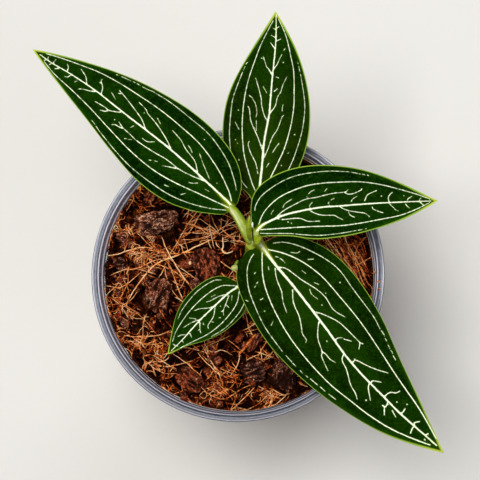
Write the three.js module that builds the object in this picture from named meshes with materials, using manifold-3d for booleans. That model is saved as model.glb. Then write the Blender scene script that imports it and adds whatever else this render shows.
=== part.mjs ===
// A jewel orchid (green leaves, pale nerves) growing in a clear nursery pot filled with coir.
// Millimetres, +Z up, origin at the centre of the pot's foot, +Y towards the top leaf.
import * as THREE from 'three';
import { mergeVertices } from 'three/addons/utils/BufferGeometryUtils.js';
import Module from 'manifold-3d';

const wasm = await Module();
wasm.setup();

// ---------------------------------------------------------------- driving dimensions

const GAP = 0.3; // clearance between pieces that touch

const POT = {
  height: 78,
  rimRadius: 45,
  rimThickness: 1.2,
  mouthRadius: 42.95,
  ledgeDepth: 3.6,
  ledgeRadius: 42.2,
  bandHeight: 8.5,
  footRadius: 33,
  floorRadius: 31.6,
  floorTop: 2.7,
  wall: 0.95,
  recess: 1.5,
  bossRadius: 8,
  footRingWidth: 5,
  facets: 48,
  drainHoles: 8,
  drainHoleRadius: 2.6,
  drainCircle: 18,
};

const MIX = {
  surface: 72.0, // mean height of the surface
  rings: 9,
  fibres: 30,
  fibreRadius: 0.42,
  fibreSpan: [7, 17],
  seed: 7,
};

// Chips of coconut husk and bark: place, height over the mean surface, half sizes, turn about Z and tilt.
const CHIPS = [
  { at: [-25.0, 17.3], lift: 0.6, half: [6.4, 4.1, 2.6], turn: 8, tilt: 6 },
  { at: [-10.3, 3.7], lift: 0.5, half: [4.4, 5.0, 2.4], turn: 15, tilt: -8 },
  { at: [-25.2, -6.1], lift: 0.8, half: [4.6, 5.4, 2.8], turn: -28, tilt: 12 },
  { at: [-36.6, 4.3], lift: 0.2, half: [2.4, 2.3, 1.8], turn: 20, tilt: 0 },
  { at: [-35.8, 12.4], lift: 0.1, half: [1.7, 2.3, 1.6], turn: 70, tilt: 0 },
  { at: [-35.2, -13.9], lift: 0.2, half: [1.8, 2.2, 1.7], turn: 30, tilt: 5 },
  { at: [-14.9, -32.3], lift: 0.4, half: [4.7, 3.6, 2.2], turn: -20, tilt: -6 },
  { at: [4.8, -29.9], lift: 0.3, half: [3.9, 3.6, 2.2], turn: 12, tilt: 4 },
  { at: [14.2, -30.6], lift: 0.5, half: [4.2, 4.9, 2.4], turn: -14, tilt: 7 },
  { at: [-7.4, -25.9], lift: 0.2, half: [2.2, 1.9, 1.6], turn: 40, tilt: 0 },
  { at: [-27.6, 25.0], lift: 0.4, half: [2.5, 2.2, 1.8], turn: 55, tilt: -5 },
  { at: [5.1, -20.2], lift: 0.4, half: [1.7, 4.3, 1.7], turn: -38, tilt: 3 },
  { at: [16.8, 31.5], lift: 0.4, half: [4.0, 3.2, 2.2], turn: 25, tilt: 5 },
];

// The stem creeps below the surface, then stands up and leans. Points of its centre line and its radii.
const STEM = {
  path: [
    [-12, -9, 57], [-6, -4.5, 60], [-0.5, 0.6, 64.5], [1.8, 2.7, 71], [3.4, 5.6, 80], [4.8, 8.3, 88], [6.2, 9.0, 96],
  ],
  radius: 2.15,
  topRadius: 1.5,
  jointSwell: 0.35,
  joints: [0.5, 0.68, 0.8, 0.9],
  sides: 10,
  steps: 25,
};

// Fleshy roots leave the creeping part of the stem and run down and outwards.
const ROOTS = [
  { path: [[-11, -8.3, 57.5], [-15, -13, 50], [-17, -20, 34], [-12, -22, 16]], radius: 1.25 },
  { path: [[-7, -5.3, 59.5], [-4, -12, 50], [4, -18, 36], [10, -16, 22]], radius: 1.15 },
  { path: [[-3, -2, 62], [-8, 6, 54], [-17, 14, 44], [-21, 12, 26]], radius: 1.2 },
  { path: [[0, 1, 65], [8, 3, 56], [17, 8, 44], [19, 12, 28]], radius: 1.1 },
];
const ROOT_SIDES = 6;
const ROOT_STEPS = 8;
const ROOT_TIP = 0.55; // share of the radius that is left at the tip

const BLADE = {
  margin: 0.65, // thickness at the edge
  body: 0.85, // thickness beside the midrib
  keel: 0.8, // the midrib stands this far below the blade at its base
  rows: 16,
  columns: [-1, -0.6, -0.12, 0, 0.12, 0.6, 1],
};

// Where along a leaf the half-widths below are given: square roots of the share of its length.
const STATIONS = [0, 0.1, 0.2, 0.32, 0.45, 0.58, 0.7, 0.8, 0.9, 1];

// A leaf's midrib is a cubic curve in space. left and right are its half-widths seen from base to tip.
// rise is how far the margins stand over the midrib, wave how far they swing up and down.
const LEAVES = {
  leaf_upper_left: {
    midrib: [[-0.4, 18, 93.5], [-15.3, 35.4, 100.7], [-41.2, 54, 98.8], [-62.3, 68.9, 88]],
    left: [1.2, 3.4, 5.8, 9.5, 12.8, 13.7, 11.6, 8.4, 4.7, 0.3],
    right: [1.6, 3.4, 6.9, 10.4, 12.4, 12.7, 11.1, 8.6, 4.9, 0.3],
    rise: 1.8, wave: 0.35, waves: 2.5,
    petiole: [[-0.4, 18, 92.6], [2.0, 13.4, 92.3], [5.2, 8.6, 91.8]], petioleRadius: [1.25, 1.8],
  },
  leaf_top: {
    midrib: [[6.8, 20.8, 86.5], [9.3, 42.7, 91], [13.2, 56.9, 95.2], [13.1, 76.9, 99]],
    left: [1.2, 1.8, 3.1, 7.5, 11.0, 13.0, 13.0, 10.9, 6.5, 0.3],
    right: [1.2, 2.6, 5.2, 8.6, 11.3, 12.9, 12.6, 10.5, 6.4, 0.3],
    rise: 1.7, wave: 0.35, waves: 2,
    petiole: [[6.8, 20.8, 85.6], [5.3, 14.5, 86.8], [4.9, 8.4, 87.4]], petioleRadius: [1.2, 1.7],
  },
  leaf_right: {
    midrib: [[7, 10, 98.5], [13.6, 20.5, 103], [55.6, 17, 105.8], [60.5, 18.1, 107]],
    left: [1.2, 2.3, 5.2, 9.4, 12.0, 12.6, 11.5, 9.4, 5.6, 0.3],
    right: [1.0, 2.4, 3.5, 5.1, 7.0, 9.3, 9.5, 8.3, 5.4, 0.3],
    rise: 1.7, wave: 0.35, waves: 2,
    petiole: [[7, 10, 97.6], [6.6, 9.5, 96.4], [6.1, 8.9, 95.0]], petioleRadius: [1.3, 1.5],
  },
  leaf_lower_right: {
    midrib: [[8.1, 7.4, 88.5], [30.1, -20, 96.7], [33.5, -30.3, 95.8], [62, -54.6, 86]],
    left: [1.6, 5.2, 8.5, 12.5, 15.6, 16.4, 14.9, 11.4, 6.8, 0.3],
    right: [4.5, 9.8, 12.0, 14.1, 15.7, 16.2, 14.4, 11.4, 7.2, 0.3],
    rise: 2.0, wave: 0.4, waves: 2.5,
    petiole: [[8.1, 7.4, 87.6], [7.0, 7.3, 85.4], [3.9, 6.8, 82.6]], petioleRadius: [1.3, 1.8],
  },
  leaf_small: {
    midrib: [[1.9, -3.1, 80], [-7.7, -9.4, 83.4], [-14.1, -18.1, 83], [-21.3, -24.3, 77.5]],
    left: [0.8, 1.6, 4.0, 6.5, 7.9, 8.2, 7.6, 5.6, 2.4, 0.3],
    right: [0.7, 0.9, 1.6, 5.0, 7.0, 7.8, 7.7, 6.4, 3.7, 0.3],
    rise: 0.9, wave: 0.2, waves: 2,
    petiole: [[1.9, -3.1, 79.3], [2.0, 0.4, 78], [2.4, 4.2, 76.4]], petioleRadius: [0.9, 1.6],
  },
};

// ---------------------------------------------------------------- small tools

const vector = (point) => new THREE.Vector3(...point);

// Repeatable random numbers in 0..1 (mulberry32).
function randomFrom(seed) {
  let state = seed;
  return () => {
    state = (state + 0x6d2b79f5) | 0;
    let mixed = Math.imul(state ^ (state >>> 15), 1 | state);
    mixed = (mixed + Math.imul(mixed ^ (mixed >>> 7), 61 | mixed)) ^ mixed;
    return ((mixed ^ (mixed >>> 14)) >>> 0) / 4294967296;
  };
}

// Smooth curve through the values at the stations: cubic pieces whose slopes are centred differences.
function smoothAt(stations, values, x) {
  const last = stations.length - 1;
  const slope = (i) => {
    const before = Math.max(i - 1, 0);
    const after = Math.min(i + 1, last);
    return (values[after] - values[before]) / (stations[after] - stations[before]);
  };
  let i = 0;
  while (i < last - 1 && x > stations[i + 1]) i += 1;
  const step = stations[i + 1] - stations[i];
  const s = (x - stations[i]) / step;
  const ease = s * s * (3 - 2 * s);
  const bend = s * (1 - s) * step * (slope(i) * (1 - s) - slope(i + 1) * s);
  return values[i] * (1 - ease) + values[i + 1] * ease + bend;
}

function solidFrom(geometry) {
  const bare = geometry.clone();
  bare.deleteAttribute('normal');
  bare.deleteAttribute('uv');
  const merged = mergeVertices(bare, 1e-4);
  return new wasm.Manifold(new wasm.Mesh({
    numProp: 3,
    vertProperties: new Float32Array(merged.attributes.position.array),
    triVerts: new Uint32Array(merged.index.array),
  }));
}

function geometryFrom(solid) {
  const { vertProperties, triVerts } = solid.getMesh();
  return indexedGeometry(vertProperties, triVerts);
}

function indexedGeometry(positions, indices) {
  const geometry = new THREE.BufferGeometry();
  geometry.setAttribute('position', new THREE.Float32BufferAttribute(positions, 3));
  geometry.setIndex(Array.from(indices));
  geometry.computeVertexNormals();
  return geometry;
}

// A closed round rod along a curve. radiusAt gives its radius at each share of its length.
function rod(curve, radiusAt, sides, steps) {
  const frames = curve.computeFrenetFrames(steps, false);
  const positions = [];
  const indices = [];
  for (let i = 0; i <= steps; i += 1) {
    const centre = curve.getPointAt(i / steps);
    for (let j = 0; j < sides; j += 1) {
      const angle = (2 * Math.PI * j) / sides;
      const point = centre.clone()
        .addScaledVector(frames.normals[i], radiusAt(i / steps) * Math.cos(angle))
        .addScaledVector(frames.binormals[i], radiusAt(i / steps) * Math.sin(angle));
      positions.push(point.x, point.y, point.z);
    }
  }
  for (let i = 0; i < steps; i += 1) {
    for (let j = 0; j < sides; j += 1) {
      const a = i * sides + j;
      const b = i * sides + ((j + 1) % sides);
      indices.push(a, b, a + sides, b, b + sides, a + sides);
    }
  }
  const endRing = steps * sides;
  for (let j = 1; j < sides - 1; j += 1) {
    indices.push(0, j + 1, j);
    indices.push(endRing, endRing + j, endRing + j + 1);
  }
  return indexedGeometry(positions, indices);
}

const curveThrough = (points) => new THREE.CatmullRomCurve3(points.map(vector), false, 'centripetal');

// A profile of [radius, height] points, from the axis back to the axis, turned about Z.
function turned(profile, facets) {
  const points = profile.map(([radius, height]) => new THREE.Vector2(radius, height));
  return new THREE.LatheGeometry(points, facets).rotateX(Math.PI / 2);
}

// ---------------------------------------------------------------- pot

// Radius of the pot's inner wall between the floor and the ledge.
function innerRadiusAt(height) {
  const ledgeHeight = POT.height - POT.ledgeDepth;
  const share = (height - POT.floorTop) / (ledgeHeight - POT.floorTop);
  return POT.floorRadius + share * (POT.ledgeRadius - POT.floorRadius);
}

function makePot() {
  const ledge = POT.height - POT.ledgeDepth;
  const band = POT.height - POT.bandHeight;
  const lip = POT.height - POT.rimThickness;
  const shell = solidFrom(turned([
    [0, 0],
    [POT.bossRadius, 0],
    [POT.bossRadius + 1, POT.recess],
    [POT.footRadius - POT.footRingWidth - 1, POT.recess],
    [POT.footRadius - POT.footRingWidth, 0],
    [POT.footRadius - 0.6, 0],
    [POT.footRadius, 0.8],
    [innerRadiusAt(band) + POT.wall, band],
    [POT.ledgeRadius + 1.6, band + 1],
    [POT.ledgeRadius + 1.8, lip],
    [POT.rimRadius - 0.2, lip],
    [POT.rimRadius, lip + 0.3],
    [POT.rimRadius, POT.height - 0.2],
    [POT.rimRadius - 0.3, POT.height],
    [POT.mouthRadius, POT.height],
    [POT.ledgeRadius + 0.45, ledge + 0.3],
    [POT.ledgeRadius, ledge],
    [innerRadiusAt(POT.floorTop + 2.5), POT.floorTop + 2.5],
    [POT.floorRadius - 1, POT.floorTop],
    [0, POT.floorTop],
  ], POT.facets));
  let pot = shell;
  for (let i = 0; i < POT.drainHoles; i += 1) {
    const angle = (2 * Math.PI * i) / POT.drainHoles;
    const drill = new THREE.CylinderGeometry(POT.drainHoleRadius, POT.drainHoleRadius, 8, 10)
      .rotateX(Math.PI / 2)
      .translate(POT.drainCircle * Math.cos(angle), POT.drainCircle * Math.sin(angle), 2);
    pot = pot.subtract(solidFrom(drill));
  }
  return geometryFrom(pot);
}

// ---------------------------------------------------------------- bark chips

// A rounded block whose faces are broken by three slow waves. grow widens it evenly for its pocket.
function chipShape(chip, grow) {
  const detail = chip.half[0] + chip.half[1] > 9.5 ? 2 : 1;
  const shape = new THREE.IcosahedronGeometry(1, detail);
  const place = shape.attributes.position;
  const point = new THREE.Vector3();
  const squareness = 0.55; // 1 keeps a ball, 0 makes a block
  const soften = (value) => Math.sign(value) * Math.abs(value) ** squareness;
  for (let i = 0; i < place.count; i += 1) {
    point.fromBufferAttribute(place, i);
    const rough = 0.86 + 0.09 * Math.sin(3.1 * point.x + 2.3 * chip.turn)
      + 0.07 * Math.sin(4.3 * point.y + chip.at[0]) + 0.06 * Math.sin(5.2 * point.z + chip.at[1]);
    place.setXYZ(
      i,
      soften(point.x) * rough * (chip.half[0] + grow),
      soften(point.y) * rough * (chip.half[1] + grow),
      soften(point.z) * rough * (chip.half[2] + grow),
    );
  }
  return shape
    .rotateX(THREE.MathUtils.degToRad(chip.tilt))
    .rotateZ(THREE.MathUtils.degToRad(chip.turn))
    .translate(chip.at[0], chip.at[1], surfaceAt(...chip.at) + chip.lift);
}

// ---------------------------------------------------------------- stem and roots

function stemRadiusAt(share, grow) {
  const taper = STEM.radius + (STEM.topRadius - STEM.radius) * share ** 3;
  const swell = STEM.joints.reduce((sum, joint) => sum + Math.exp(-(((share - joint) / 0.02) ** 2)), 0);
  return taper + STEM.jointSwell * swell + grow;
}

function rootShape(root, grow) {
  const radiusAt = (share) => root.radius * (1 - (1 - ROOT_TIP) * share) + grow;
  return rod(curveThrough(root.path), radiusAt, ROOT_SIDES, ROOT_STEPS);
}

function stemShape(grow) {
  const radiusAt = (share) => stemRadiusAt(share, grow);
  return rod(curveThrough(STEM.path), radiusAt, STEM.sides, STEM.steps);
}

function stemAndRoots(grow) {
  return ROOTS.reduce((plant, root) => plant.add(solidFrom(rootShape(root, grow))), solidFrom(stemShape(grow)));
}

// ---------------------------------------------------------------- potting mix

// Height of the mix: a nearly level bed with lumps of coir of three sizes.
function surfaceAt(x, y) {
  return MIX.surface + 0.75 * Math.sin(0.21 * x + 1.1) * Math.cos(0.19 * y - 0.5)
    + 0.5 * Math.sin(0.47 * x - 0.36 * y + 2.0) + 0.4 * Math.sin(0.33 * x + 0.71 * y)
    + 0.3 * Math.sin(1.13 * x + 0.5) * Math.sin(1.07 * y + 1.7);
}

function mixBed() {
  const foot = POT.floorTop + GAP;
  const profile = [[0, foot], [POT.floorRadius - 1 - GAP, foot]];
  for (const height of [foot + 2.5, 26, 49, MIX.surface]) {
    profile.push([innerRadiusAt(height) - GAP - 0.05, height]);
  }
  const edge = profile.at(-1)[0];
  for (let i = 1; i < MIX.rings; i += 1) {
    profile.push([edge * (1 - i / MIX.rings), MIX.surface]);
  }
  profile.push([0, MIX.surface]);
  const bed = turned(profile, POT.facets);
  const place = bed.attributes.position;
  for (let i = 0; i < place.count; i += 1) {
    const onTop = place.getZ(i) > MIX.surface - 0.01;
    if (onTop) place.setZ(i, surfaceAt(place.getX(i), place.getY(i)));
  }
  return bed;
}

// Coarse fibres arch out of the bed and dive back in. None starts, passes or ends near a chip or the stem.
function coarseFibres() {
  const random = randomFrom(MIX.seed);
  const edge = innerRadiusAt(MIX.surface) - 2.5;
  const isFree = (x, y) => Math.hypot(x, y) < edge && Math.hypot(x - 1.5, y - 2.5) > 4.5
    && CHIPS.every((chip) => Math.hypot(x - chip.at[0], y - chip.at[1]) > Math.max(...chip.half) + 1.4);
  const fibres = [];
  while (fibres.length < MIX.fibres) {
    const middle = [(2 * random() - 1) * edge, (2 * random() - 1) * edge];
    const heading = 2 * Math.PI * random();
    const span = MIX.fibreSpan[0] + random() * (MIX.fibreSpan[1] - MIX.fibreSpan[0]);
    const bow = (random() - 0.5) * 0.5 * span;
    const arch = 0.5 + 0.7 * random();
    const shares = [-0.5, -0.25, 0, 0.25, 0.5];
    const points = shares.map((share) => {
      const sideways = bow * (1 - 4 * share * share);
      const x = middle[0] + share * span * Math.cos(heading) - sideways * Math.sin(heading);
      const y = middle[1] + share * span * Math.sin(heading) + sideways * Math.cos(heading);
      return [x, y, surfaceAt(x, y) + (arch + 1.2) * (1 - 4 * share * share) - 1.2];
    });
    if (points.every(([x, y]) => isFree(x, y))) {
      fibres.push(rod(curveThrough(points), () => MIX.fibreRadius, 3, 6));
    }
  }
  return fibres;
}

function makeMix() {
  let mix = solidFrom(mixBed());
  for (const fibre of coarseFibres()) mix = mix.add(solidFrom(fibre));
  for (const chip of CHIPS) mix = mix.subtract(solidFrom(chipShape(chip, GAP)));
  mix = mix.subtract(stemAndRoots(GAP));
  return geometryFrom(mix);
}

// ---------------------------------------------------------------- leaves

// Surface point of a blade: t runs along the midrib, q from -1 (right margin) over 0 to 1 (left margin).
function bladePoint(leaf, curve, t, q) {
  const root = Math.sqrt(t);
  const widths = q > 0 ? leaf.left : leaf.right;
  const half = smoothAt(STATIONS, widths, root);
  const fullness = half / Math.max(...widths);
  const across = curve.getTangentAt(t).setZ(0).normalize();
  const middle = curve.getPointAt(t);
  const cup = leaf.rise * fullness * Math.sin((Math.PI / 2) * Math.abs(q));
  const swing = leaf.wave * fullness * q * q * Math.sin(2 * Math.PI * leaf.waves * t + Math.sign(q));
  return middle.add(new THREE.Vector3(-across.y * q * half, across.x * q * half, cup + swing));
}

function bladeThickness(t, q) {
  const keel = q === 0 ? BLADE.keel * (1 - t) : 0;
  return BLADE.margin + (BLADE.body - BLADE.margin) * (1 - Math.abs(q)) + keel;
}

// The blade is one grid of points for its upper face and the same grid, lowered, for its lower face.
function bladeShape(leaf) {
  const curve = new THREE.CubicBezierCurve3(...leaf.midrib.map(vector));
  const { rows, columns } = BLADE;
  const width = columns.length;
  const upper = [];
  const lower = [];
  for (let i = 0; i <= rows; i += 1) {
    const t = (i / rows) ** 1.6;
    for (const q of columns) {
      const point = bladePoint(leaf, curve, t, q);
      upper.push(point.x, point.y, point.z);
      lower.push(point.x, point.y, point.z - bladeThickness(t, q));
    }
  }
  const under = (rows + 1) * width;
  const indices = [];
  const quad = (a, b, c, d) => indices.push(a, b, c, a, c, d);
  for (let i = 0; i < rows; i += 1) {
    for (let j = 0; j < width - 1; j += 1) {
      const a = i * width + j;
      indices.push(a, a + width, a + 1, a + 1, a + width, a + width + 1);
      indices.push(under + a, under + a + 1, under + a + width);
      indices.push(under + a + 1, under + a + width + 1, under + a + width);
    }
    const right = i * width;
    const left = right + width - 1;
    quad(right, under + right, under + right + width, right + width);
    quad(left, left + width, under + left + width, under + left);
  }
  const tip = rows * width;
  for (let j = 0; j < width - 1; j += 1) {
    quad(j, j + 1, under + j + 1, under + j);
    quad(tip + j, under + tip + j, under + tip + j + 1, tip + j + 1);
  }
  return indexedGeometry([...upper, ...lower], indices);
}

// The petiole starts as the keel below the blade and widens to clasp the stem.
function petioleShape(leaf) {
  const curve = new THREE.CubicBezierCurve3(...leaf.midrib.map(vector));
  const [thin, wide] = leaf.petioleRadius;
  const inBlade = curve.getPointAt(0.09).add(new THREE.Vector3(0, 0, -0.75));
  const path = curveThrough([inBlade.toArray(), ...leaf.petiole]);
  const radiusAt = (share) => (share < 0.2
    ? 0.45 + (thin - 0.45) * (share / 0.2)
    : thin + (wide - thin) * ((share - 0.2) / 0.8) ** 2);
  return rod(path, radiusAt, 8, 9);
}

function makeLeaf(leaf) {
  const whole = solidFrom(bladeShape(leaf)).add(solidFrom(petioleShape(leaf)));
  return geometryFrom(whole.subtract(solidFrom(stemShape(GAP))));
}

// ---------------------------------------------------------------- assembly

const orchid = new THREE.Group();

function addPiece(name, geometry, color, roughness, opacity = 1) {
  const material = new THREE.MeshStandardMaterial({ color, roughness, metalness: 0 });
  material.opacity = opacity;
  material.transparent = opacity < 1;
  const piece = new THREE.Mesh(geometry, material);
  piece.name = name;
  orchid.add(piece);
}

addPiece('pot', makePot(), 0x9aa3b8, 0.25, 0.4);
addPiece('potting_mix', makeMix(), 0x5a2f18, 0.95);
CHIPS.forEach((chip, i) => {
  const name = `bark_chip_${String(i + 1).padStart(2, '0')}`;
  addPiece(name, chipShape(chip, 0), 0x3c2621, 0.9);
});
addPiece('stem_and_roots', geometryFrom(stemAndRoots(0)), 0x93a443, 0.5);
for (const [name, leaf] of Object.entries(LEAVES)) addPiece(name, makeLeaf(leaf), 0x1d4a12, 0.45);

export default orchid;
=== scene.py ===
"""A jewel orchid with dark green, white-nerved leaves in a clear nursery pot of coir and bark.

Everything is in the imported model's frame: metres, +Z up, the pot's foot on the floor at the origin.
Sizes below are in millimetres and are turned into metres when a mesh is made.
"""
import math
from functools import partial

import bpy
import numpy as np
from bpy.props import FloatProperty, FloatVectorProperty, IntProperty, PointerProperty
from mathutils import Matrix


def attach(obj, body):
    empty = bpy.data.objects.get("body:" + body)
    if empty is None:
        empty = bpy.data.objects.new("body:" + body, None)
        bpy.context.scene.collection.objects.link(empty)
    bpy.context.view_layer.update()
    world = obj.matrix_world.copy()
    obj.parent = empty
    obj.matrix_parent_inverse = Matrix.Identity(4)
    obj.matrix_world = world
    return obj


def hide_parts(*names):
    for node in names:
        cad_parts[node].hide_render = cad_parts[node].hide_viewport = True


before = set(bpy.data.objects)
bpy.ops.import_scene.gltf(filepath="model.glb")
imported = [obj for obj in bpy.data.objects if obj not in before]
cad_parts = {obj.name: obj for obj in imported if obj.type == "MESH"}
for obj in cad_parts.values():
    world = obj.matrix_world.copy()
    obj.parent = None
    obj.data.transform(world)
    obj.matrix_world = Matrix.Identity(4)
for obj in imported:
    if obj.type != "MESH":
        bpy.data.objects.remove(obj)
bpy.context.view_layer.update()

bl_info = {
    "name": "Jewel Orchid in a Clear Pot",
    "version": (1, 0, 0),
    "blender": (4, 5, 0),
    "location": "View3D > Sidebar > Jewel Orchid",
    "description": "Builds the leaves with their nerves, the stem, the coir, the bark and the clear pot",
    "category": "Object",
}

MM = 0.001  # metres in a millimetre
TURN = 2 * math.pi  # radians in a full turn
BODY = "root"  # the one body that everything rides on

# ------------ sizes, in millimetres

POT = {
    "height": 78.0, "rim_radius": 45.0, "rim_thickness": 1.2, "mouth_radius": 42.7,
    "ledge_depth": 3.6, "ledge_radius": 42.0, "band_height": 8.5, "foot_radius": 33.0,
    "floor_radius": 31.6, "floor_top": 2.7, "wall": 0.95, "recess": 1.5, "boss_radius": 8.0,
    "foot_ring_width": 5.0, "drain_holes": 8, "drain_hole_radius": 2.6, "drain_circle": 18.0,
}
LEDGE = POT["height"] - POT["ledge_depth"]  # height of the ledge
MIX_SURFACE = 72.0  # mean height of the potting mix

# Each bark chip: its place, height over the surface, half sizes, turn and tilt in degrees, how red it
# is and how much darker than the others.
CHIP_FIELDS = ("at", "lift", "half", "turn", "tilt", "red", "dark")
CHIPS = [dict(zip(CHIP_FIELDS, row)) for row in (
    ((-25.0, 17.3), 0.6, (6.4, 4.1, 2.6), 8, 6, 0.1, 0.0),
    ((-10.3, 3.7), 0.5, (4.4, 5.0, 2.4), 15, -8, 0.7, 0.08),
    ((-25.2, -6.1), 0.8, (4.6, 5.4, 2.8), -28, 12, 0.35, 0.0),
    ((-36.6, 4.3), 0.2, (2.4, 2.3, 1.8), 20, 0, 0.0, 0.2),
    ((-35.8, 12.4), 0.1, (1.7, 2.3, 1.6), 70, 0, 0.3, 0.0),
    ((-35.2, -13.9), 0.2, (1.8, 2.2, 1.7), 30, 5, 0.1, 0.0),
    ((-14.9, -32.3), 0.4, (4.7, 3.6, 2.2), -20, -6, 0.85, 0.0),
    ((4.8, -29.9), 0.3, (3.9, 3.6, 2.2), 12, 4, 0.0, 0.2),
    ((14.2, -30.6), 0.5, (4.2, 4.9, 2.4), -14, 7, 0.0, 0.25),
    ((-7.4, -25.9), 0.2, (2.2, 1.9, 1.6), 40, 0, 0.55, 0.0),
    ((-27.6, 25.0), 0.4, (2.5, 2.2, 1.8), 55, -5, 0.6, 0.0),
    ((5.1, -20.2), 0.4, (1.7, 4.3, 1.7), -38, 3, 0.65, 0.0),
    ((16.8, 31.5), 0.4, (4.0, 3.2, 2.2), 25, 5, 0.45, 0.0),
)]

STEM = {
    "path": [(-12, -9, 57), (-6, -4.5, 60), (0.3, 0.2, 64.5), (3.2, 2.2, 71), (4.4, 5.2, 80),
             (4.9, 7.4, 86), (5.1, 8.0, 88.4)],
    "radius": 2.15, "top_radius": 1.7, "joint_swell": 0.35, "joints": (0.5, 0.66),
}
ROOTS = [
    {"path": [(-11, -8.3, 57.5), (-15, -13, 50), (-17, -20, 34), (-12, -22, 16)], "radius": 1.25},
    {"path": [(-7, -5.3, 59.5), (-4, -12, 50), (4, -18, 36), (10, -16, 22)], "radius": 1.15},
    {"path": [(-3, -2, 62), (-8, 6, 54), (-17, 14, 44), (-21, 12, 26)], "radius": 1.2},
    {"path": [(0, 1, 65), (8, 3, 56), (17, 8, 44), (19, 12, 28)], "radius": 1.1},
]

# Half-widths of a blade are given at these square roots of the share of its length.
STATIONS = (0, 0.1, 0.2, 0.32, 0.45, 0.58, 0.7, 0.8, 0.9, 1)

# A blade's midrib is a cubic curve. left and right are its half-widths, rise is how far the margins
# stand over the midrib, wave how far they swing and waves how often. flush is the share of olive towards
# the base. ear is how far the lobe on the right reaches back past the base, and how wide it is. margin
# and nerves are the widths of the pale margin and of the nerves over the usual ones. widening is how much
# wider the margin is at the tip, and bold how much wider each side of a nerve is there. right_tint is
# the share of stalk colour to the right of the midrib's base.
LEAVES = {
    "leaf_upper_left": {
        "midrib": [(-0.4, 18, 93.5), (-15.3, 35.4, 100.7), (-41.2, 54, 98.8), (-62.3, 68.9, 88)],
        "left": (1.2, 3.4, 5.8, 9.5, 12.8, 13.7, 11.6, 8.4, 4.7, 0.3),
        "right": (1.6, 3.4, 6.9, 10.4, 12.4, 12.7, 11.1, 8.6, 4.9, 0.3),
        "rise": 1.8, "wave": 0.35, "waves": 2.5, "flush": 0.0, "margin": 0.8, "nerves": 0.94,
    },
    "leaf_top": {
        "midrib": [(6.8, 20.8, 86.5), (9.3, 42.7, 91), (13.2, 56.9, 95.2), (13.1, 76.9, 99)],
        "left": (1.2, 1.8, 3.1, 7.5, 11.0, 13.0, 13.0, 10.9, 6.5, 0.3),
        "right": (1.2, 2.6, 5.2, 8.6, 11.3, 12.9, 12.6, 10.5, 6.4, 0.3),
        "rise": 1.7, "wave": 0.35, "waves": 2, "flush": 0.3, "widening": 1.5, "nerves": 1.01,
    },
    "leaf_right": {
        "midrib": [(7, 10, 98.5), (13.6, 20.5, 103), (55.6, 17, 105.8), (60.5, 18.1, 107)],
        "left": (0.5, 0.8, 4.0, 9.5, 12.0, 12.6, 11.5, 9.4, 5.6, 0.3),
        "right": (1.0, 2.4, 3.5, 5.1, 7.0, 9.3, 9.5, 8.3, 5.4, 0.3),
        "rise": 1.7, "wave": 0.35, "waves": 2, "flush": 0.0, "nerves": 0.96, "right_tint": 0.15,
    },
    "leaf_lower_right": {
        "midrib": [(8.1, 7.4, 88.5), (30.1, -20, 96.7), (33.5, -30.3, 95.8), (62, -54.6, 86)],
        "left": (1.6, 5.2, 8.5, 12.5, 15.6, 16.4, 14.9, 11.4, 6.8, 0.3),
        "right": (9.0, 9.9, 12.0, 14.1, 15.7, 16.2, 14.4, 11.4, 7.2, 0.3),
        "rise": 2.0, "wave": 0.4, "waves": 2.5, "flush": 0.1, "ear": (1.5, 9.6), "margin": 0.6,
        "widening": 1.8, "nerves": 1.15, "bold": 0.08,
    },
    "leaf_small": {
        "midrib": [(1.9, -3.1, 80), (-7.7, -9.4, 83.4), (-14.1, -18.1, 83), (-21.3, -24.3, 77.5)],
        "left": (0.8, 1.6, 4.0, 6.5, 7.9, 8.2, 7.6, 5.6, 2.4, 0.3),
        "right": (0.7, 0.9, 1.6, 5.0, 7.0, 7.8, 7.7, 6.4, 3.7, 0.3),
        "rise": 0.9, "wave": 0.2, "waves": 2, "flush": 0.12, "margin": 0.48, "nerves": 0.85,
    },
}

# ------------ front view

VIEW_EYE = (46.0, -63.0, 685.0)  # the camera, in millimetres
VIEW_AIM = (0.85, 10.55, 78.0)  # the point in the middle of the view
VIEW_PIXELS = 480  # width and height of the view
VIEW_LENS = 150.0  # millimetres, on a sensor of 36
VIEW_SENSOR = 36.0
VIEW_FOCAL = VIEW_LENS / VIEW_SENSOR * VIEW_PIXELS  # in pixels

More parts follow.
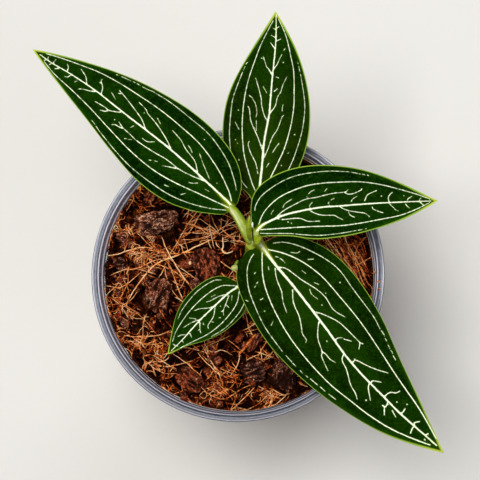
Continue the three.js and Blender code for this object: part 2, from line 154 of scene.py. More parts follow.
# Nerves and flecks of each blade, each as x, y, x, y and so on in pixels of the front view. The long
# nerves run from the tip to the base, and branches start at the nerve that they leave.
NERVES = {}
NERVES["leaf_upper_left"] = {
    "midrib": [
        (40, 54.6, 53, 63.6, 71.6, 74.4, 95.9, 90.8, 114.4, 105.4, 140, 125.4, 160, 140.8, 180, 157.5,
         205, 180.4, 220, 194.2, 230, 204.2, 241.7, 220),
    ],
    "inner": [
        (45.9, 53.6, 60, 57.6, 80, 64.7, 100, 72.6, 120, 83.3, 140, 96, 160, 109.6, 180, 125.8, 200,
         144.2, 217.5, 168.3, 228.3, 190, 231.3, 200.8),
        (44.1, 61.5, 55, 74.7, 70, 88.3, 90, 107.9, 110, 129.7, 130, 150.5, 150, 167.5, 170, 180, 200,
         194.2, 228.3, 207.5),
    ],
    "outer": [
        (153.3, 91.7, 170, 102.1, 190, 117.9, 210, 135.4, 226.7, 159.6, 234.2, 180, 236.3, 190.4),
        (107.3, 141.1, 114.4, 149.7, 130, 166.3, 150, 182.1, 170, 195, 190, 203.3, 210, 208.3, 225.8,
         210),
    ],
    "dashes": [
        (116.6, 74.7, 118.5, 75.3), (121.4, 76.5, 130.9, 80.8), (133.7, 81.9, 135.1, 82.6),
        (136.6, 83.3, 139.4, 85.1), (142.4, 86.8, 146, 88.6), (147.6, 89.4, 151.4, 91),
        (91.6, 120.1, 95.1, 124.7), (95.9, 126.1, 97.6, 128.6), (98.7, 130.4, 106.6, 140.1),
        (111.2, 92.2, 113, 94.7, 115.5, 99.4), (157.5, 118.3, 160.7, 124.2),
        (188.3, 145.4, 190.4, 148.3, 192.1, 152.5), (199.6, 153.8, 203.3, 164.2, 210, 180),
        (124.4, 138.6, 126.9, 138.6), (128, 139.4, 131.6, 139.6), (130.5, 127.6, 133.7, 125.8),
        (142.1, 138.3, 147.5, 141.7, 154.6, 141.7), (149.2, 160, 151.7, 160.4),
        (154.6, 160.8, 157.5, 161.7), (188.8, 182.5, 193.3, 183.3, 197.5, 182.9),
        (205, 189.2, 208.8, 191.3), (164.6, 185, 168.8, 186.7), (180.8, 194.6, 185.4, 193.3),
        (74.8, 81.9, 77.3, 80.6),
    ],
    "branches": [
        (42.5, 56.3, 41.9, 54.7), (47.6, 58.6, 48.4, 56.9), (53, 62.6, 54.1, 61.5, 55.9, 59.4),
        (67.1, 70.4, 68.4, 67.6, 67.3, 64), (86.6, 82.9, 86.2, 78.3, 84.8, 74.7, 80.9, 69),
        (101.2, 93.3, 102.6, 87.6, 101.2, 80.4, 102.6, 79.4),
        (145.4, 128.8, 141.7, 119.2, 133.3, 107.5, 127.3, 99.7, 119.4, 90.1), (121, 93.6, 118.4, 93.3),
        (170.8, 148.3, 165.8, 138.3, 156.7, 124.2, 148.3, 114.2, 145.8, 109.2, 138.8, 102.1),
        (197.5, 171.7, 195.4, 162.5, 191.5, 156.3, 185.8, 149.2, 180.8, 140, 172.5, 130.4),
        (44.4, 60.4, 46.6, 59.4), (49.4, 64.4, 51.9, 63.3), (55.1, 68.6, 59.4, 68.3),
        (70.9, 74.4, 68, 76.9, 64.8, 76.5), (95.9, 91.5, 89.4, 90.8, 83, 89.1, 78, 88.9),
        (121.6, 111.9, 117.3, 111.9, 109.4, 110.4, 104.4, 106.9, 95.1, 101.5),
        (108.7, 110.4, 105.1, 111.3, 100.1, 110.1),
        (207.5, 182.1, 191.7, 175.8, 179.2, 169.2, 166.7, 159.6, 155.8, 153.3, 143.3, 145.4, 135, 139.2,
         130, 134.2, 123.7, 128.6, 119.1, 122.2),
        (123.7, 128.6, 119.4, 127.2, 115.1, 124.7, 111.9, 124.7),
        (179.2, 169.2, 170, 167.1, 162.1, 165.8),
    ],
    "specks": (144.2, 112.9, 204.4, 139.6, 216.9, 183.3, 114.8, 119.7, 191.5, 156.3, 100.1, 82.6),
}
NERVES["leaf_top"] = {
    "midrib": [
        (276.1, 14.5, 276.1, 28, 275.8, 40.7, 274.5, 56.7, 272.5, 75, 270.8, 94.7, 269.2, 113.6, 266.4,
         128.6, 263.5, 145.7, 262.4, 161.4, 260.4, 180, 259.3, 192),
    ],
    "inner": [
        (273.3, 20.3, 266.7, 32.7, 260, 46.7, 254.7, 60.7, 250.3, 73.3, 246.7, 86, 243.5, 104.7, 242.1,
         125, 242.8, 142.9, 244.9, 158.6, 251, 180, 254.9, 190),
        (278.3, 18.7, 286, 36, 291.3, 58.7, 293.7, 72.7, 294.1, 92.7, 293.4, 110, 289.9, 129.3, 284.2,
         148.6, 278.1, 162.1, 270.3, 177.9),
    ],
    "outer": [
        (242.7, 71.7, 237.3, 85.3, 233, 98, 231, 110.7, 229.4, 132.1, 230.5, 149.3, 233.5, 162, 241.7,
         180.7, 247.1, 187.9),
        (300.5, 74, 304, 96, 304.7, 110.7, 302.1, 130.7, 296.7, 149.3, 290.3, 165.7, 285, 174),
    ],
    "dashes": [
        (247.7, 62, 246, 64), (245, 66.3, 244, 69), (297.7, 62.7, 298.3, 64), (298.7, 66, 299.7, 71),
        (263.3, 86.7, 266.7, 92.7), (249.3, 95.3, 252.3, 97.7),
        (253.3, 100, 255.6, 104.3, 256.9, 112.1, 256, 117.1), (256.4, 120.7, 256.4, 130),
        (235.3, 122.1, 238.9, 129.3), (257.4, 171.4, 257.8, 173.6), (285, 48.7, 283.3, 50.7),
        (283.1, 104.3, 282.4, 107.9, 282.1, 111.4), (279.2, 143.2, 276, 147.1, 272.4, 152.9),
        (268.9, 163.2, 266.4, 167.1), (287.4, 153.6, 288.9, 152.5),
    ],
    "branches": [
        (275.5, 29.3, 273, 28), (275, 37.3, 271.3, 35.3), (274.7, 48.3, 273, 46, 270.3, 42.3),
        (272, 75.3, 268.7, 69, 266.3, 66, 263.3, 56), (264, 59.3, 261.3, 58),
        (266.7, 120.4, 263.9, 114.3, 261.7, 105.3, 261, 97.3, 257.3, 83.3, 255.7, 78),
        (262.4, 150.7, 258.1, 137.9, 253.9, 128.6, 250.6, 120, 249.6, 110, 248.1, 106.4),
        (257.1, 168.6, 255.3, 162.1, 250.6, 152.9, 248.1, 144.3, 249.4, 141.1), (276.3, 27.7, 279, 26.8),
        (276.7, 40.7, 280.7, 39), (274.3, 68, 277.3, 64, 279.3, 59.3, 282, 54.3),
        (276.3, 77, 278.7, 77.9),
        (269.6, 113.6, 275.3, 105.7, 277.3, 97.3, 280.7, 92, 282.7, 85.3, 287, 76.7),
        (274.3, 91.3, 277.3, 88.7),
        (264.5, 157, 267.4, 150, 272.4, 137.1, 277.4, 129.3, 281.7, 117.9, 283.9, 115),
    ],
    "specks": (238.4, 110.1, 235.6, 139.6, 237.4, 143.2, 238.9, 159.8, 283.3, 62.5, 277.5, 77.5, 264.5,
               157, 281.4, 165.4, 294.6, 134.6, 270, 95),
}
NERVES["leaf_right"] = {
    "midrib": [
        (431, 201, 420, 201.2, 400, 202, 370, 203.5, 340, 205.8, 320, 207.3, 300, 211, 283, 215.3, 266.3,
         222.7, 260.3, 226.7, 256.3, 232),
    ],
    "inner": [
        (429.3, 198.7, 416, 194, 400, 189.3, 380, 184.3, 360, 181.7, 340, 182, 320, 183.3, 303, 186.7,
         283, 195, 271, 204, 263, 213.7, 258.7, 224),
        (429.3, 202.7, 416.7, 209, 400, 215.3, 380, 219.3, 360, 223, 340, 225.6, 310, 226.5, 280, 228.3,
         261, 229.5),
    ],
    "outer": [
        (349.3, 171.7, 329, 171, 310, 172.8, 296.3, 175.5, 283, 180.7, 271, 188, 261, 196.3, 255.7, 205.3,
         254.7, 210.7),
        (357.3, 230.3, 340, 233.3, 320, 235.3, 303, 234.7, 290, 233.5, 270, 233.5, 260.3, 233.3),
    ],
    "dashes": [
        (351.3, 172.3, 356.7, 173.2), (358.7, 173.7, 361, 174), (362.3, 174.2, 365, 174.8),
        (367.7, 175.2, 369.3, 175.7), (359.3, 230, 362.3, 229.5), (271.3, 214, 272, 212, 273.7, 210),
        (282.7, 207.7, 285, 203.7, 292, 199), (309.3, 206.3, 310.7, 204, 312.3, 202.3),
        (308.7, 193.7, 310.7, 191.7, 314, 190), (324.7, 191.3, 326.9, 188.7),
        (331.3, 199.7, 334.3, 198.3), (276, 218.6, 280, 219), (394.7, 209.3, 398.3, 211),
    ],
    "branches": [
        (275, 218, 283, 211, 295, 204.3, 305.7, 199.3, 316.3, 197.3, 327, 194.7, 335, 193, 344.7, 192.1,
         348.3, 189.7),
        (344.7, 192.1, 347.3, 194, 352.7, 193.7, 360.7, 190.3, 361.7, 189), (328.3, 203.3, 329.3, 201.7),
        (351.2, 201.3, 352.7, 199, 357.2, 196.1),
        (364.7, 200.7, 366.7, 196, 368.7, 194, 372.3, 192.3, 376.7, 190.5),
        (389, 201.7, 388.3, 197.3, 390.7, 193.7, 392.7, 192.3), (407.3, 200.7, 408, 198.7, 412.3, 196.2),
        (419, 200.7, 419.7, 199.3, 421, 198), (282, 219.5, 299, 218.3, 308.3, 221.3, 319.7, 221),
        (310.7, 211.2, 317, 214, 323, 215.2, 333.7, 215.3, 337.7, 217.3, 343, 219.7),
        (339.3, 206.3, 342.7, 208.3, 349, 210.7, 360, 212.5, 365, 213.3, 369.7, 216.7),
        (348.7, 210.7, 349, 213.3, 351, 215.7, 355, 217.3),
        (372.3, 207, 373.3, 209, 379.3, 211.7, 383.3, 212.8), (389.3, 203, 390.7, 205, 393.7, 207.7),
        (405.7, 204, 407, 206, 410, 208.3), (419.7, 201.7, 421.3, 203.3, 423, 204.7),
    ],
    "specks": (306.8, 196.5, 381.5, 196.1, 403.9, 195.7, 288, 221.9, 291.3, 223.2, 366, 228.7),
}
NERVES["leaf_lower_right"] = {
    "midrib": [
        (436.5, 445.5, 426.3, 436.3, 400, 413.3, 383.3, 396.3, 360, 372.5, 343.3, 352.5, 327.9, 330.9,
         310, 307.3, 292.1, 284.4, 274.3, 263.4, 261.4, 245.9),
    ],
    "inner": [
        (436.3, 438.8, 420, 410, 397.5, 377.5, 380, 350.6, 360, 321.3, 340, 296.9, 321.4, 275.9, 301.4,
         261.2, 282.9, 253, 266.4, 249.1),
        (430, 445, 410, 437.5, 390, 428.3, 370, 415.8, 350, 400.4, 330, 384.2, 308.3, 361.3, 290, 337.5,
         275.7, 313, 266.4, 290.9, 262.5, 273.7, 262.1, 250.9),
    ],
    "outer": [
        (380, 328.8, 372.5, 315, 353.8, 290, 340, 270.8, 325.7, 259.1, 302.9, 247.3, 285, 242.3, 273.2,
         243),
        (282.5, 351.7, 265, 327.3, 253.6, 303, 248.2, 286.6, 247.1, 269.4, 250.4, 258.7, 253.6, 254.1),
    ],
    "dashes": [
        (381.3, 330.6, 384.4, 335), (385, 338.1, 386.9, 341.3), (388.1, 345, 389.4, 347.5),
        (390.6, 350, 392.5, 352.5), (393.1, 355.6, 395.6, 360), (285.8, 355.4, 289.2, 359.2),
        (290.4, 360.4, 291.7, 361.7), (292.9, 363.3, 295.8, 366.3), (300.4, 370.8, 302.5, 373.3),
        (305.8, 375.4, 307.9, 377.5), (310.4, 378.8, 317.5, 385), (320, 386.7, 325, 391.3),
        (328.3, 393.8, 335.8, 399.6), (290.7, 252.3, 296.8, 253, 299.6, 251.6),
        (308.2, 259.4, 313.6, 259.1), (301.8, 270.5, 305.7, 273.4), (314.3, 282.6, 318.6, 284.4),
        (309.6, 289.1, 311.8, 294.4, 317.9, 299.1), (268.2, 266.2, 268.9, 269.8),
        (254.3, 273.7, 255.7, 272.3), (256.8, 283.4, 257.9, 281.9), (254.6, 287.3, 255.7, 285.9),
        (245.7, 300.1, 247.9, 301.2), (260.4, 299.8, 262.9, 298.4), (273.2, 320.9, 271.1, 325.5),
        (392.1, 410.4, 395.8, 417.1), (275.7, 256.6, 278.6, 257.3),
        (280.7, 258.7, 282.9, 260.5, 285, 263),
    ],
    "branches": [
        (279.3, 266.9, 287.1, 269.1, 302.1, 280.1, 316.4, 289.1, 325.7, 297.6, 333.6, 309.8, 345.6,
         317.5),
        (313.6, 311.2, 324.3, 314.8, 337.5, 321.3, 346.3, 328.8, 359.4, 341.9, 363.1, 343.8),
        (360, 343.1, 358.8, 349.4), (334.6, 340, 338.3, 337.9, 342.5, 337.8),
        (344.2, 339.2, 351.7, 341.3),
        (352.5, 361.7, 356.7, 360.4, 365.8, 365, 376.7, 369.6, 387.9, 372.9),
        (370.4, 382.5, 373.3, 380.8, 381.3, 382.3),
        (384.2, 396.3, 390, 392.5, 395.8, 392.9, 399.6, 391.3), (401.3, 413.1, 403.1, 411.9, 405, 408.8),
        (413.8, 425, 415, 422.5, 419.4, 421.6), (425.6, 435, 428.1, 433.8),
        (275, 268.7, 276.8, 279.4, 281.4, 290.9, 282.5, 298.4, 283.6, 303.7, 286.8, 312.6),
        (292.5, 290.5, 293.6, 303, 299.3, 316.6, 301.4, 327.3, 302.5, 334, 306.3, 339.6, 305.8, 342.5),
        (319.6, 320.1, 318.2, 325.9, 317.9, 338.3, 322.1, 351.7, 321.7, 356.7, 327.9, 370.8),
        (322.1, 351.7, 325.8, 354.2, 330, 359.2, 335.4, 362.5),
        (344.2, 352.9, 342.1, 360, 346.7, 370, 350.4, 384.2, 355.4, 393.3, 357.1, 399.2),
        (369.6, 383.3, 368.3, 387.5, 370.4, 400.8), (382.5, 405.4, 384.2, 407.1, 384.3, 415),
        (384.2, 407.1, 385.8, 406.7, 387.7, 403), (413.8, 426.3, 411.9, 429.4, 410.6, 433.1),
    ],
    "specks": (325.7, 293.1, 321.9, 305.1, 340, 282.6, 396.9, 402.1, 407.1, 404.4, 264.6, 311.1, 326.9,
               341.3, 366, 400.3, 424.6, 439.6, 354.6, 359.2, 387.7, 404.5),
}
NERVES["leaf_small"] = {
    "midrib": [
        (171, 351, 182, 340, 199.3, 320.7, 220, 300.7, 230, 291.7, 238, 286.7),
    ],
    "inner": [
        (172.3, 342, 176.7, 330, 188.7, 312, 204.7, 296, 220.7, 286, 235.3, 285.7),
        (180, 348, 194, 341, 210, 332.7, 224.7, 320, 236, 304.7, 239.3, 291.3),
    ],
    "outer": [
        (177.7, 319.3, 183.3, 308, 197.3, 291.3, 212.7, 281, 221.7, 279.9),
        (211.3, 336.7, 226, 327.3, 238.7, 313.3, 244, 304),
    ],
    "dashes": [
        (211, 297, 215.3, 294.7), (189.3, 318, 196, 318.7), (232, 295.7, 231.7, 300.7),
        (227.3, 305.7, 228.7, 307.3), (218.7, 317.7, 220.7, 317.7), (203, 323, 204, 324.7),
    ],
    "branches": [
        (225.3, 294.3, 218, 296.7, 210, 301, 206.3, 302),
        (215.3, 305.7, 208, 308, 200, 308.7, 194, 310.7), (200, 319.3, 191.3, 322.7, 183.3, 327.7),
        (185, 334.7, 181.3, 335, 178, 336.5), (175.3, 345.3, 173.3, 344.3),
        (228.7, 296, 226, 303.3, 223.3, 310.7, 223.7, 315.3), (223.3, 310.7, 221.3, 311.7),
        (215.3, 306.3, 213.3, 316.7, 208, 325.3, 208.7, 328.7), (199.7, 320.7, 200, 329.3, 201, 333.7),
        (200, 329.3, 198.3, 330.3), (189.3, 331.7, 191.7, 337.7), (182, 340, 183.3, 342.3),
        (177, 344.7, 177.7, 346.3),
    ],
    "specks": (220.5, 306.2, 213.1, 322.1),
}

# Half-widths in pixels of each kind of nerve at its first and last point, and how pale it is.
NERVE_KINDS = {
    "midrib": (0.38, 1.15, 1.0),
    "inner": (0.26, 0.44, 1.0),
    "outer": (0.2, 0.3, 0.9),
    "dashes": (0.28, 0.22, 0.7),
    "branches": (0.38, 0.23, 1.0),
}
SPECK_RADIUS = 0.5  # pixels
SPECK_PALENESS = 0.6


# ------------ numbers and curves

def packed(*parts):
    """Arrays side by side along a new last axis."""
    return np.stack(parts, axis=-1)


def pairs(numbers):
    """Points from x, y, x, y and so on."""
    return np.reshape(numbers, (-1, 2))


def view_axes():
    """Right, up and forward of the front view: forward runs from the eye to the aim, right is forward
    crossed with +Y, and up is right crossed with forward."""
    forward = np.subtract(VIEW_AIM, VIEW_EYE)
    forward /= np.linalg.norm(forward)
    right = np.cross(forward, (0.0, 1.0, 0.0))
    right /= np.linalg.norm(right)
    return right, np.cross(right, forward), forward


def to_view(points):
    """Pixels of points in millimetres: the middle plus the focal length in pixels times the sideways
    share over the depth."""
    right, up, forward = view_axes()
    away = np.subtract(points, VIEW_EYE)
    depth = away @ forward
    return packed(VIEW_PIXELS / 2 + VIEW_FOCAL * (away @ right) / depth,
                  VIEW_PIXELS / 2 - VIEW_FOCAL * (away @ up) / depth)


def from_view(pixels, height):
    """Points at a height in millimetres under pixels of the front view: the eye plus as much of each
    pixel's ray as reaches that height."""
    right, up, forward = view_axes()
    pixels = np.asarray(pixels, float)
    rays = (forward + (pixels[..., :1] - VIEW_PIXELS / 2) / VIEW_FOCAL * right
            + (VIEW_PIXELS / 2 - pixels[..., 1:2]) / VIEW_FOCAL * up)
    reach = (np.asarray(height, float) - VIEW_EYE[2]) / rays[..., 2]
    return np.array(VIEW_EYE) + rays * np.asarray(reach)[..., None]


def smoothstep(low, high, value):
    """0 below low, 1 above high and 3s^2 - 2s^3 between them."""
    share = np.clip((value - low) / (high - low), 0, 1)
    return share * share * (3 - 2 * share)


def bell(x, width, power=2):
    """exp(-(x / width)^power): 1 in the middle and dying away beyond the width."""
    return np.exp(-((x / width) ** power))


def smooth_at(stations, values, x):
    """Cubic pieces through the values at the stations, whose slopes are centred differences."""
    stations, values = np.asarray(stations, float), np.asarray(values, float).T
    last = len(stations) - 1
    before = np.maximum(np.arange(last + 1) - 1, 0)
    after = np.minimum(np.arange(last + 1) + 1, last)
    slopes = (values[..., after] - values[..., before]) / (stations[after] - stations[before])
    i = np.clip(np.searchsorted(stations, x, side="left") - 1, 0, last - 1)
    step = stations[i + 1] - stations[i]
    s = (x - stations[i]) / step
    ease = s * s * (3 - 2 * s)
    bend = s * (1 - s) * step * (slopes[..., i] * (1 - s) - slopes[..., i + 1] * s)
    return (values[..., i] * (1 - ease) + values[..., i + 1] * ease + bend).T


def curve_through(points, count):
    """Points of the smooth curve through all the given ones, evenly spread over its spans."""
    return smooth_at(np.arange(len(points)), points, np.linspace(0, len(points) - 1, count))


def columns_at(x, stations, rows):
    """Each column of rows, which are given at the stations, at x: straight pieces between them."""
    return packed(*(np.interp(x, stations, column) for column in rows.T))


def unit(vectors):
    """Each vector over its length."""
    return vectors / np.maximum(np.linalg.norm(vectors, axis=-1, keepdims=True), 1e-9)


def all_round(count):
    """Angles evenly spread over a full turn."""
    return np.arange(count) / count * TURN


def rings(line, x, y, lean=(0.0, 0.0, 1.0)):
    """Vectors round each point of a line: x times its direction crossed with the lean, plus y times that
    crossed with its direction."""
    along = unit(np.gradient(line, axis=-2))
    beside = unit(np.cross(along, lean))
    over = np.cross(beside, along)
    return beside[..., None, :] * x[:, None] + over[..., None, :] * y[:, None]


def ripples(points, wavelength, seed, waves=14):
    """Smooth noise from about -1 to 1: the mean of plane sine waves of about one wavelength, with
    random directions and phases, times the square root of twice their number."""
    random = np.random.default_rng(seed)
    direction = unit(random.normal(size=(waves, points.shape[-1])))
    pace = TURN / wavelength * random.uniform(0.6, 1.5, waves)
    phase = random.uniform(0, TURN, waves)
    total = np.zeros(points.shape[:-1])
    for k in range(waves):
        total += np.sin(points @ direction[k] * pace[k] + phase[k])
    return total * math.sqrt(2 / waves) * 0.6


def wobble(line, wavelength, seed):
    """Ripples along each of the three axes."""
    return packed(*(ripples(line, wavelength, seed + k) for k in range(3)))


def round_axis(radius, bearing, *height):
    """Points at a radius and a bearing round the Z axis, and at a height if one is given."""
    return packed(radius * np.cos(bearing), radius * np.sin(bearing), *height)


def held_inside(flat, limit):
    """Places drawn straight in to a distance from the Z axis where they lie beyond it."""
    reach = np.linalg.norm(flat, axis=-1)
    return flat * np.minimum(1, limit / np.maximum(reach, 1e-6))[..., None]


def surface_at(x, y):
    """Height of the mix: the mean plus four slow sines, as in the solid."""
    return (MIX_SURFACE + 0.75 * np.sin(0.21 * x + 1.1) * np.cos(0.19 * y - 0.5)
            + 0.5 * np.sin(0.47 * x - 0.36 * y + 2.0) + 0.4 * np.sin(0.33 * x + 0.71 * y)
            + 0.3 * np.sin(1.13 * x + 0.5) * np.sin(1.07 * y + 1.7))


def inner_radius_at(height):
    """Radius of the pot's inner wall: straight from the floor to the ledge."""
    share = (height - POT["floor_top"]) / (LEDGE - POT["floor_top"])
    return POT["floor_radius"] + share * (POT["ledge_radius"] - POT["floor_radius"])


# ------------ meshes

def grid_faces(rows, columns, start=0, around=False):
    """Four-cornered faces of a grid whose points run row by row; around closes each row on itself."""
    i = np.arange(rows - 1)[:, None]
    j = np.arange(columns if around else columns - 1)[None, :]
    beside = (j + 1) % columns
    here = start + i * columns
    corners = (here + j, here + beside, here + columns + beside, here + columns + j)
    return np.stack(np.broadcast_arrays(*corners), axis=-1).reshape(-1, 4)


def sheet_edges(rows, columns):
    """Faces that join the edges of a grid to those of a second one whose points follow the first's."""
    under = rows * columns
    first, near = np.arange(rows - 1) * columns, np.arange(columns - 1)
    last, far = first + columns - 1, near + (rows - 1) * columns
    return np.concatenate((
        packed(first, first + under, first + under + columns, first + columns),
        packed(last, last + columns, last + columns + under, last + under),
        packed(near, near + 1, near + 1 + under, near + under),
        packed(far, far + under, far + 1 + under, far + 1),
    ))


def make_piece(name, points, faces, materials, replaced=(), values=None, face_material=None):
    """A mesh object in metres from points in millimetres and lists of faces, riding on the body."""
    mesh = bpy.data.meshes.new(name)
    points = np.asarray(points, np.float32).reshape(-1, 3) * MM
    mesh.vertices.add(len(points))
    mesh.vertices.foreach_set("co", points.ravel())
    faces = [np.asarray(group, np.int32) for group in faces if len(group)]
    corners = np.concatenate([group.ravel() for group in faces])
    sizes = np.concatenate([np.full(len(group), group.shape[1]) for group in faces])
    mesh.loops.add(len(corners))
    mesh.loops.foreach_set("vertex_index", corners)
    mesh.polygons.add(len(sizes))
    mesh.polygons.foreach_set("loop_start", np.concatenate(([0], np.cumsum(sizes)[:-1])).astype(np.int32))
    mesh.polygons.foreach_set("use_smooth", np.ones(len(sizes), bool))
    for material in materials:
        mesh.materials.append(material)
    if face_material is not None:
        mesh.polygons.foreach_set("material_index", np.asarray(face_material, np.int32))
    for label, numbers in (values or {}).items():
        numbers = np.asarray(numbers, np.float32)
        kind, field = ("FLOAT", "value") if numbers.ndim == 1 else ("FLOAT_VECTOR", "vector")
        layer = mesh.attributes.new(label, kind, "POINT")
        layer.data.foreach_set(field, numbers.ravel())
    mesh.update(calc_edges=True)
    piece = bpy.data.objects.new(name, mesh)
    bpy.context.scene.collection.objects.link(piece)
    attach(piece, BODY)
    if replaced:
        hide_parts(*replaced)
    return piece


TUBE_LEAN = unit(np.array([0.13, 0.21, 1.0]))  # hardly any fibre runs along it


def tubes(paths, radii, sides):
    """Closed tubes round many paths at once. paths is (tube, step, 3) and radii (tube, step). Returns
    points, faces of four and faces of the caps."""
    count, steps, _ = paths.shape
    angle = all_round(sides)
    ring = rings(paths, np.cos(angle), np.sin(angle), TUBE_LEAN)
    points = paths[:, :, None, :] + radii[:, :, None, None] * ring
    one = grid_faces(steps, sides, around=True)
    start = (np.arange(count) * steps * sides)[:, None, None]
    walls = (one[None, :, ::-1] + start).reshape(-1, 4)
    first = np.arange(sides)[None, :] + start[:, 0]
    last = first[:, ::-1] + (steps - 1) * sides
    return points.reshape(-1, 3), walls, np.concatenate((first, last))


def ball(rows, columns):
    """A unit ball with closed poles: a half circle turned about Z."""
    polar = np.linspace(0, math.pi, rows + 1)
    points, walls, ends = revolved(packed(np.sin(polar), np.cos(polar)), columns)
    return points, walls[:, ::-1], ends[:, [0, 2, 1]]


def turned(points, turn=0.0, tilt=0.0):
    """Points tilted about X and then turned about Z, in degrees."""
    a, b = math.radians(tilt), math.radians(turn)
    about_x = np.array([[1, 0, 0], [0, math.cos(a), -math.sin(a)], [0, math.sin(a), math.cos(a)]])
    about_z = np.array([[math.cos(b), -math.sin(b), 0], [math.sin(b), math.cos(b), 0], [0, 0, 1]])
    return points @ (about_z @ about_x).T


def revolved(profile, facets):
    """A profile of (radius, height) from the axis back to the axis, turned about Z. Its first and last
    points are poles. Returns points, faces of four and faces of three."""
    profile = np.asarray(profile, float)
    turn = all_round(facets)
    rings = profile[1:-1]
    points = packed(rings[:, :1] * np.cos(turn), rings[:, :1] * np.sin(turn),
                    rings[:, 1:] * np.ones(facets)).reshape(-1, 3)
    points = np.concatenate(([(0, 0, profile[0, 1])], points, [(0, 0, profile[-1, 1])]))
    walls = grid_faces(len(rings), facets, start=1, around=True)
    j = np.arange(facets)
    beside = (j + 1) % facets
    start = packed(np.zeros_like(j), 1 + beside, 1 + j)
    end = 1 + (len(rings) - 1) * facets
    finish = packed(np.full_like(j, len(points) - 1), end + j, end + beside)
    return points, walls, np.concatenate((start, finish))


def joined(parts):
    """Several (points, faces, faces, ...) as one: all points, and the list of face groups moved on."""
    groups, start = [], 0
    for points, *faces in parts:
        groups += [group + start for group in faces]
        start += len(points)
    return np.concatenate([part[0] for part in parts]), groups


# ------------ materials

WALL_ALPHA = 0.08
RIM_ALPHA = 0.97
PLASTIC_IOR = 1.5


def times(share, colour):
    """A colour scaled by a share."""
    return tuple(share * c for c in colour)


class Finish:
    """A material and short ways to add and join its nodes."""

    def __init__(self, name):
        self.material = bpy.data.materials.new(name)
        self.material.use_nodes = True
        self.tree = self.material.node_tree
        self.place = self.node("TexCoord").outputs["Object"]

    def put(self, socket, value):
        """An output linked to a socket, or a number, vector or colour set on it."""
        if isinstance(value, bpy.types.NodeSocket):
            self.tree.links.new(value, socket)
        elif socket.type == "RGBA":
            socket.default_value = (*value[:3], 1)
        else:
            socket.default_value = value

    def node(self, kind, **sockets):
        """A node with its sockets filled; an underscore stands for a space."""
        node = self.tree.nodes.new("ShaderNode" + kind)
        for name, value in sockets.items():
            self.put(node.inputs[name.replace("_", " ")], value)
        return node

    def finished(self, **sockets):
        """The material, once the shader's own sockets are filled."""
        for name, value in sockets.items():
            self.put(self.tree.nodes["Principled BSDF"].inputs[name.replace("_", " ")], value)
        return self.material

    def stretched(self, scale, place=None):
        """Object coordinates, or other ones, scaled differently along X, Y and Z."""
        return self.node("Mapping", Scale=scale, Vector=place or self.place).outputs["Vector"]

    def length(self, place):
        """Distance of a place from the origin of its coordinates."""
        node = self.node("VectorMath", Vector=place)
        node.operation = "LENGTH"
        return node.outputs["Value"]

    def radius(self):
        """Distance from the Z axis in millimetres."""
        return self.length(self.stretched((1 / MM, 1 / MM, 0)))

    def along(self, axis):
        """Place along an axis in millimetres."""
        return self.node("SeparateXYZ", Vector=self.stretched((1 / MM, 1 / MM, 1 / MM))).outputs[axis]

    def noise(self, size, detail=3.0, rough=0.55, place=None):
        """Noise from 0 to 1 whose lumps are about size millimetres across."""
        return self.node("TexNoise", Scale=1 / (size * MM), Detail=detail, Roughness=rough,
                         Vector=place or self.place).outputs["Fac"]

    def cells(self, size):
        """Distance from the middles of cells of about size millimetres."""
        return self.node("TexVoronoi", Scale=1 / (size * MM), Vector=self.place).outputs["Distance"]

    def value(self, label, output="Fac"):
        """A value, or with output Vector a place, that the mesh carries at each point."""
        node = self.node("Attribute")
        node.attribute_name = label
        return node.outputs[output]

    def beyond_nerve(self):
        """Length of the way from the nearest nerve, less that nerve's half-width."""
        side = self.value("nerve_side", "Vector")
        half = self.node("SeparateXYZ", Vector=side).outputs["Z"]
        return self.maths("SUBTRACT", self.length(self.stretched((1, 1, 0), side)), half)

    def remap(self, output, low, high, to_low=0.0, to_high=1.0):
        """to_low up to low, to_high from high on, and a smooth step between them."""
        node = self.node("MapRange", Value=output, From_Min=low, From_Max=high, To_Min=to_low,
                         To_Max=to_high)
        node.interpolation_type = "SMOOTHSTEP"
        return node.outputs["Result"]

    def maths(self, operation, first, second):
        """An operation on two numbers or outputs."""
        node = self.node("Math")
        node.operation = operation
        for socket, value in zip(node.inputs, (first, second)):
            self.put(socket, value)
        return node.outputs["Value"]

    def mix(self, factor, first, second):
        """Two colours, each a colour or an output, mixed by a factor."""
        node = self.node("Mix")
        node.data_type = "RGBA"
        colours = [socket for socket in node.inputs if socket.type == "RGBA"]
        for socket, value in zip((node.inputs[0], *colours), (factor, first, second)):
            self.put(socket, value)
        return next(socket for socket in node.outputs if socket.type == "RGBA")

    def layered(self, colour, *layers):
        """A colour under layers, each a factor and the colour that it brings in."""
        for factor, above in layers:
            colour = self.mix(factor, colour, above)
        return colour

    def ramp(self, output, stops):
        """Colours at places from 0 to 1."""
        node = self.node("ValToRGB", Fac=output)
        marks = node.color_ramp.elements
        while len(marks) < len(stops):
            marks.new(0.5)
        for mark, (place, colour) in zip(marks, stops):
            mark.position = place
            mark.color = (*colour, 1)
        return node.outputs["Color"]

    def bump(self, output, depth, strength=1.0, before=None):
        """A relief depth millimetres deep, on top of the one before."""
        node = self.node("Bump", Strength=strength, Distance=depth * MM, Height=output)
        if before is not None:
            self.put(node.inputs["Normal"], before)
        return node.outputs["Normal"]


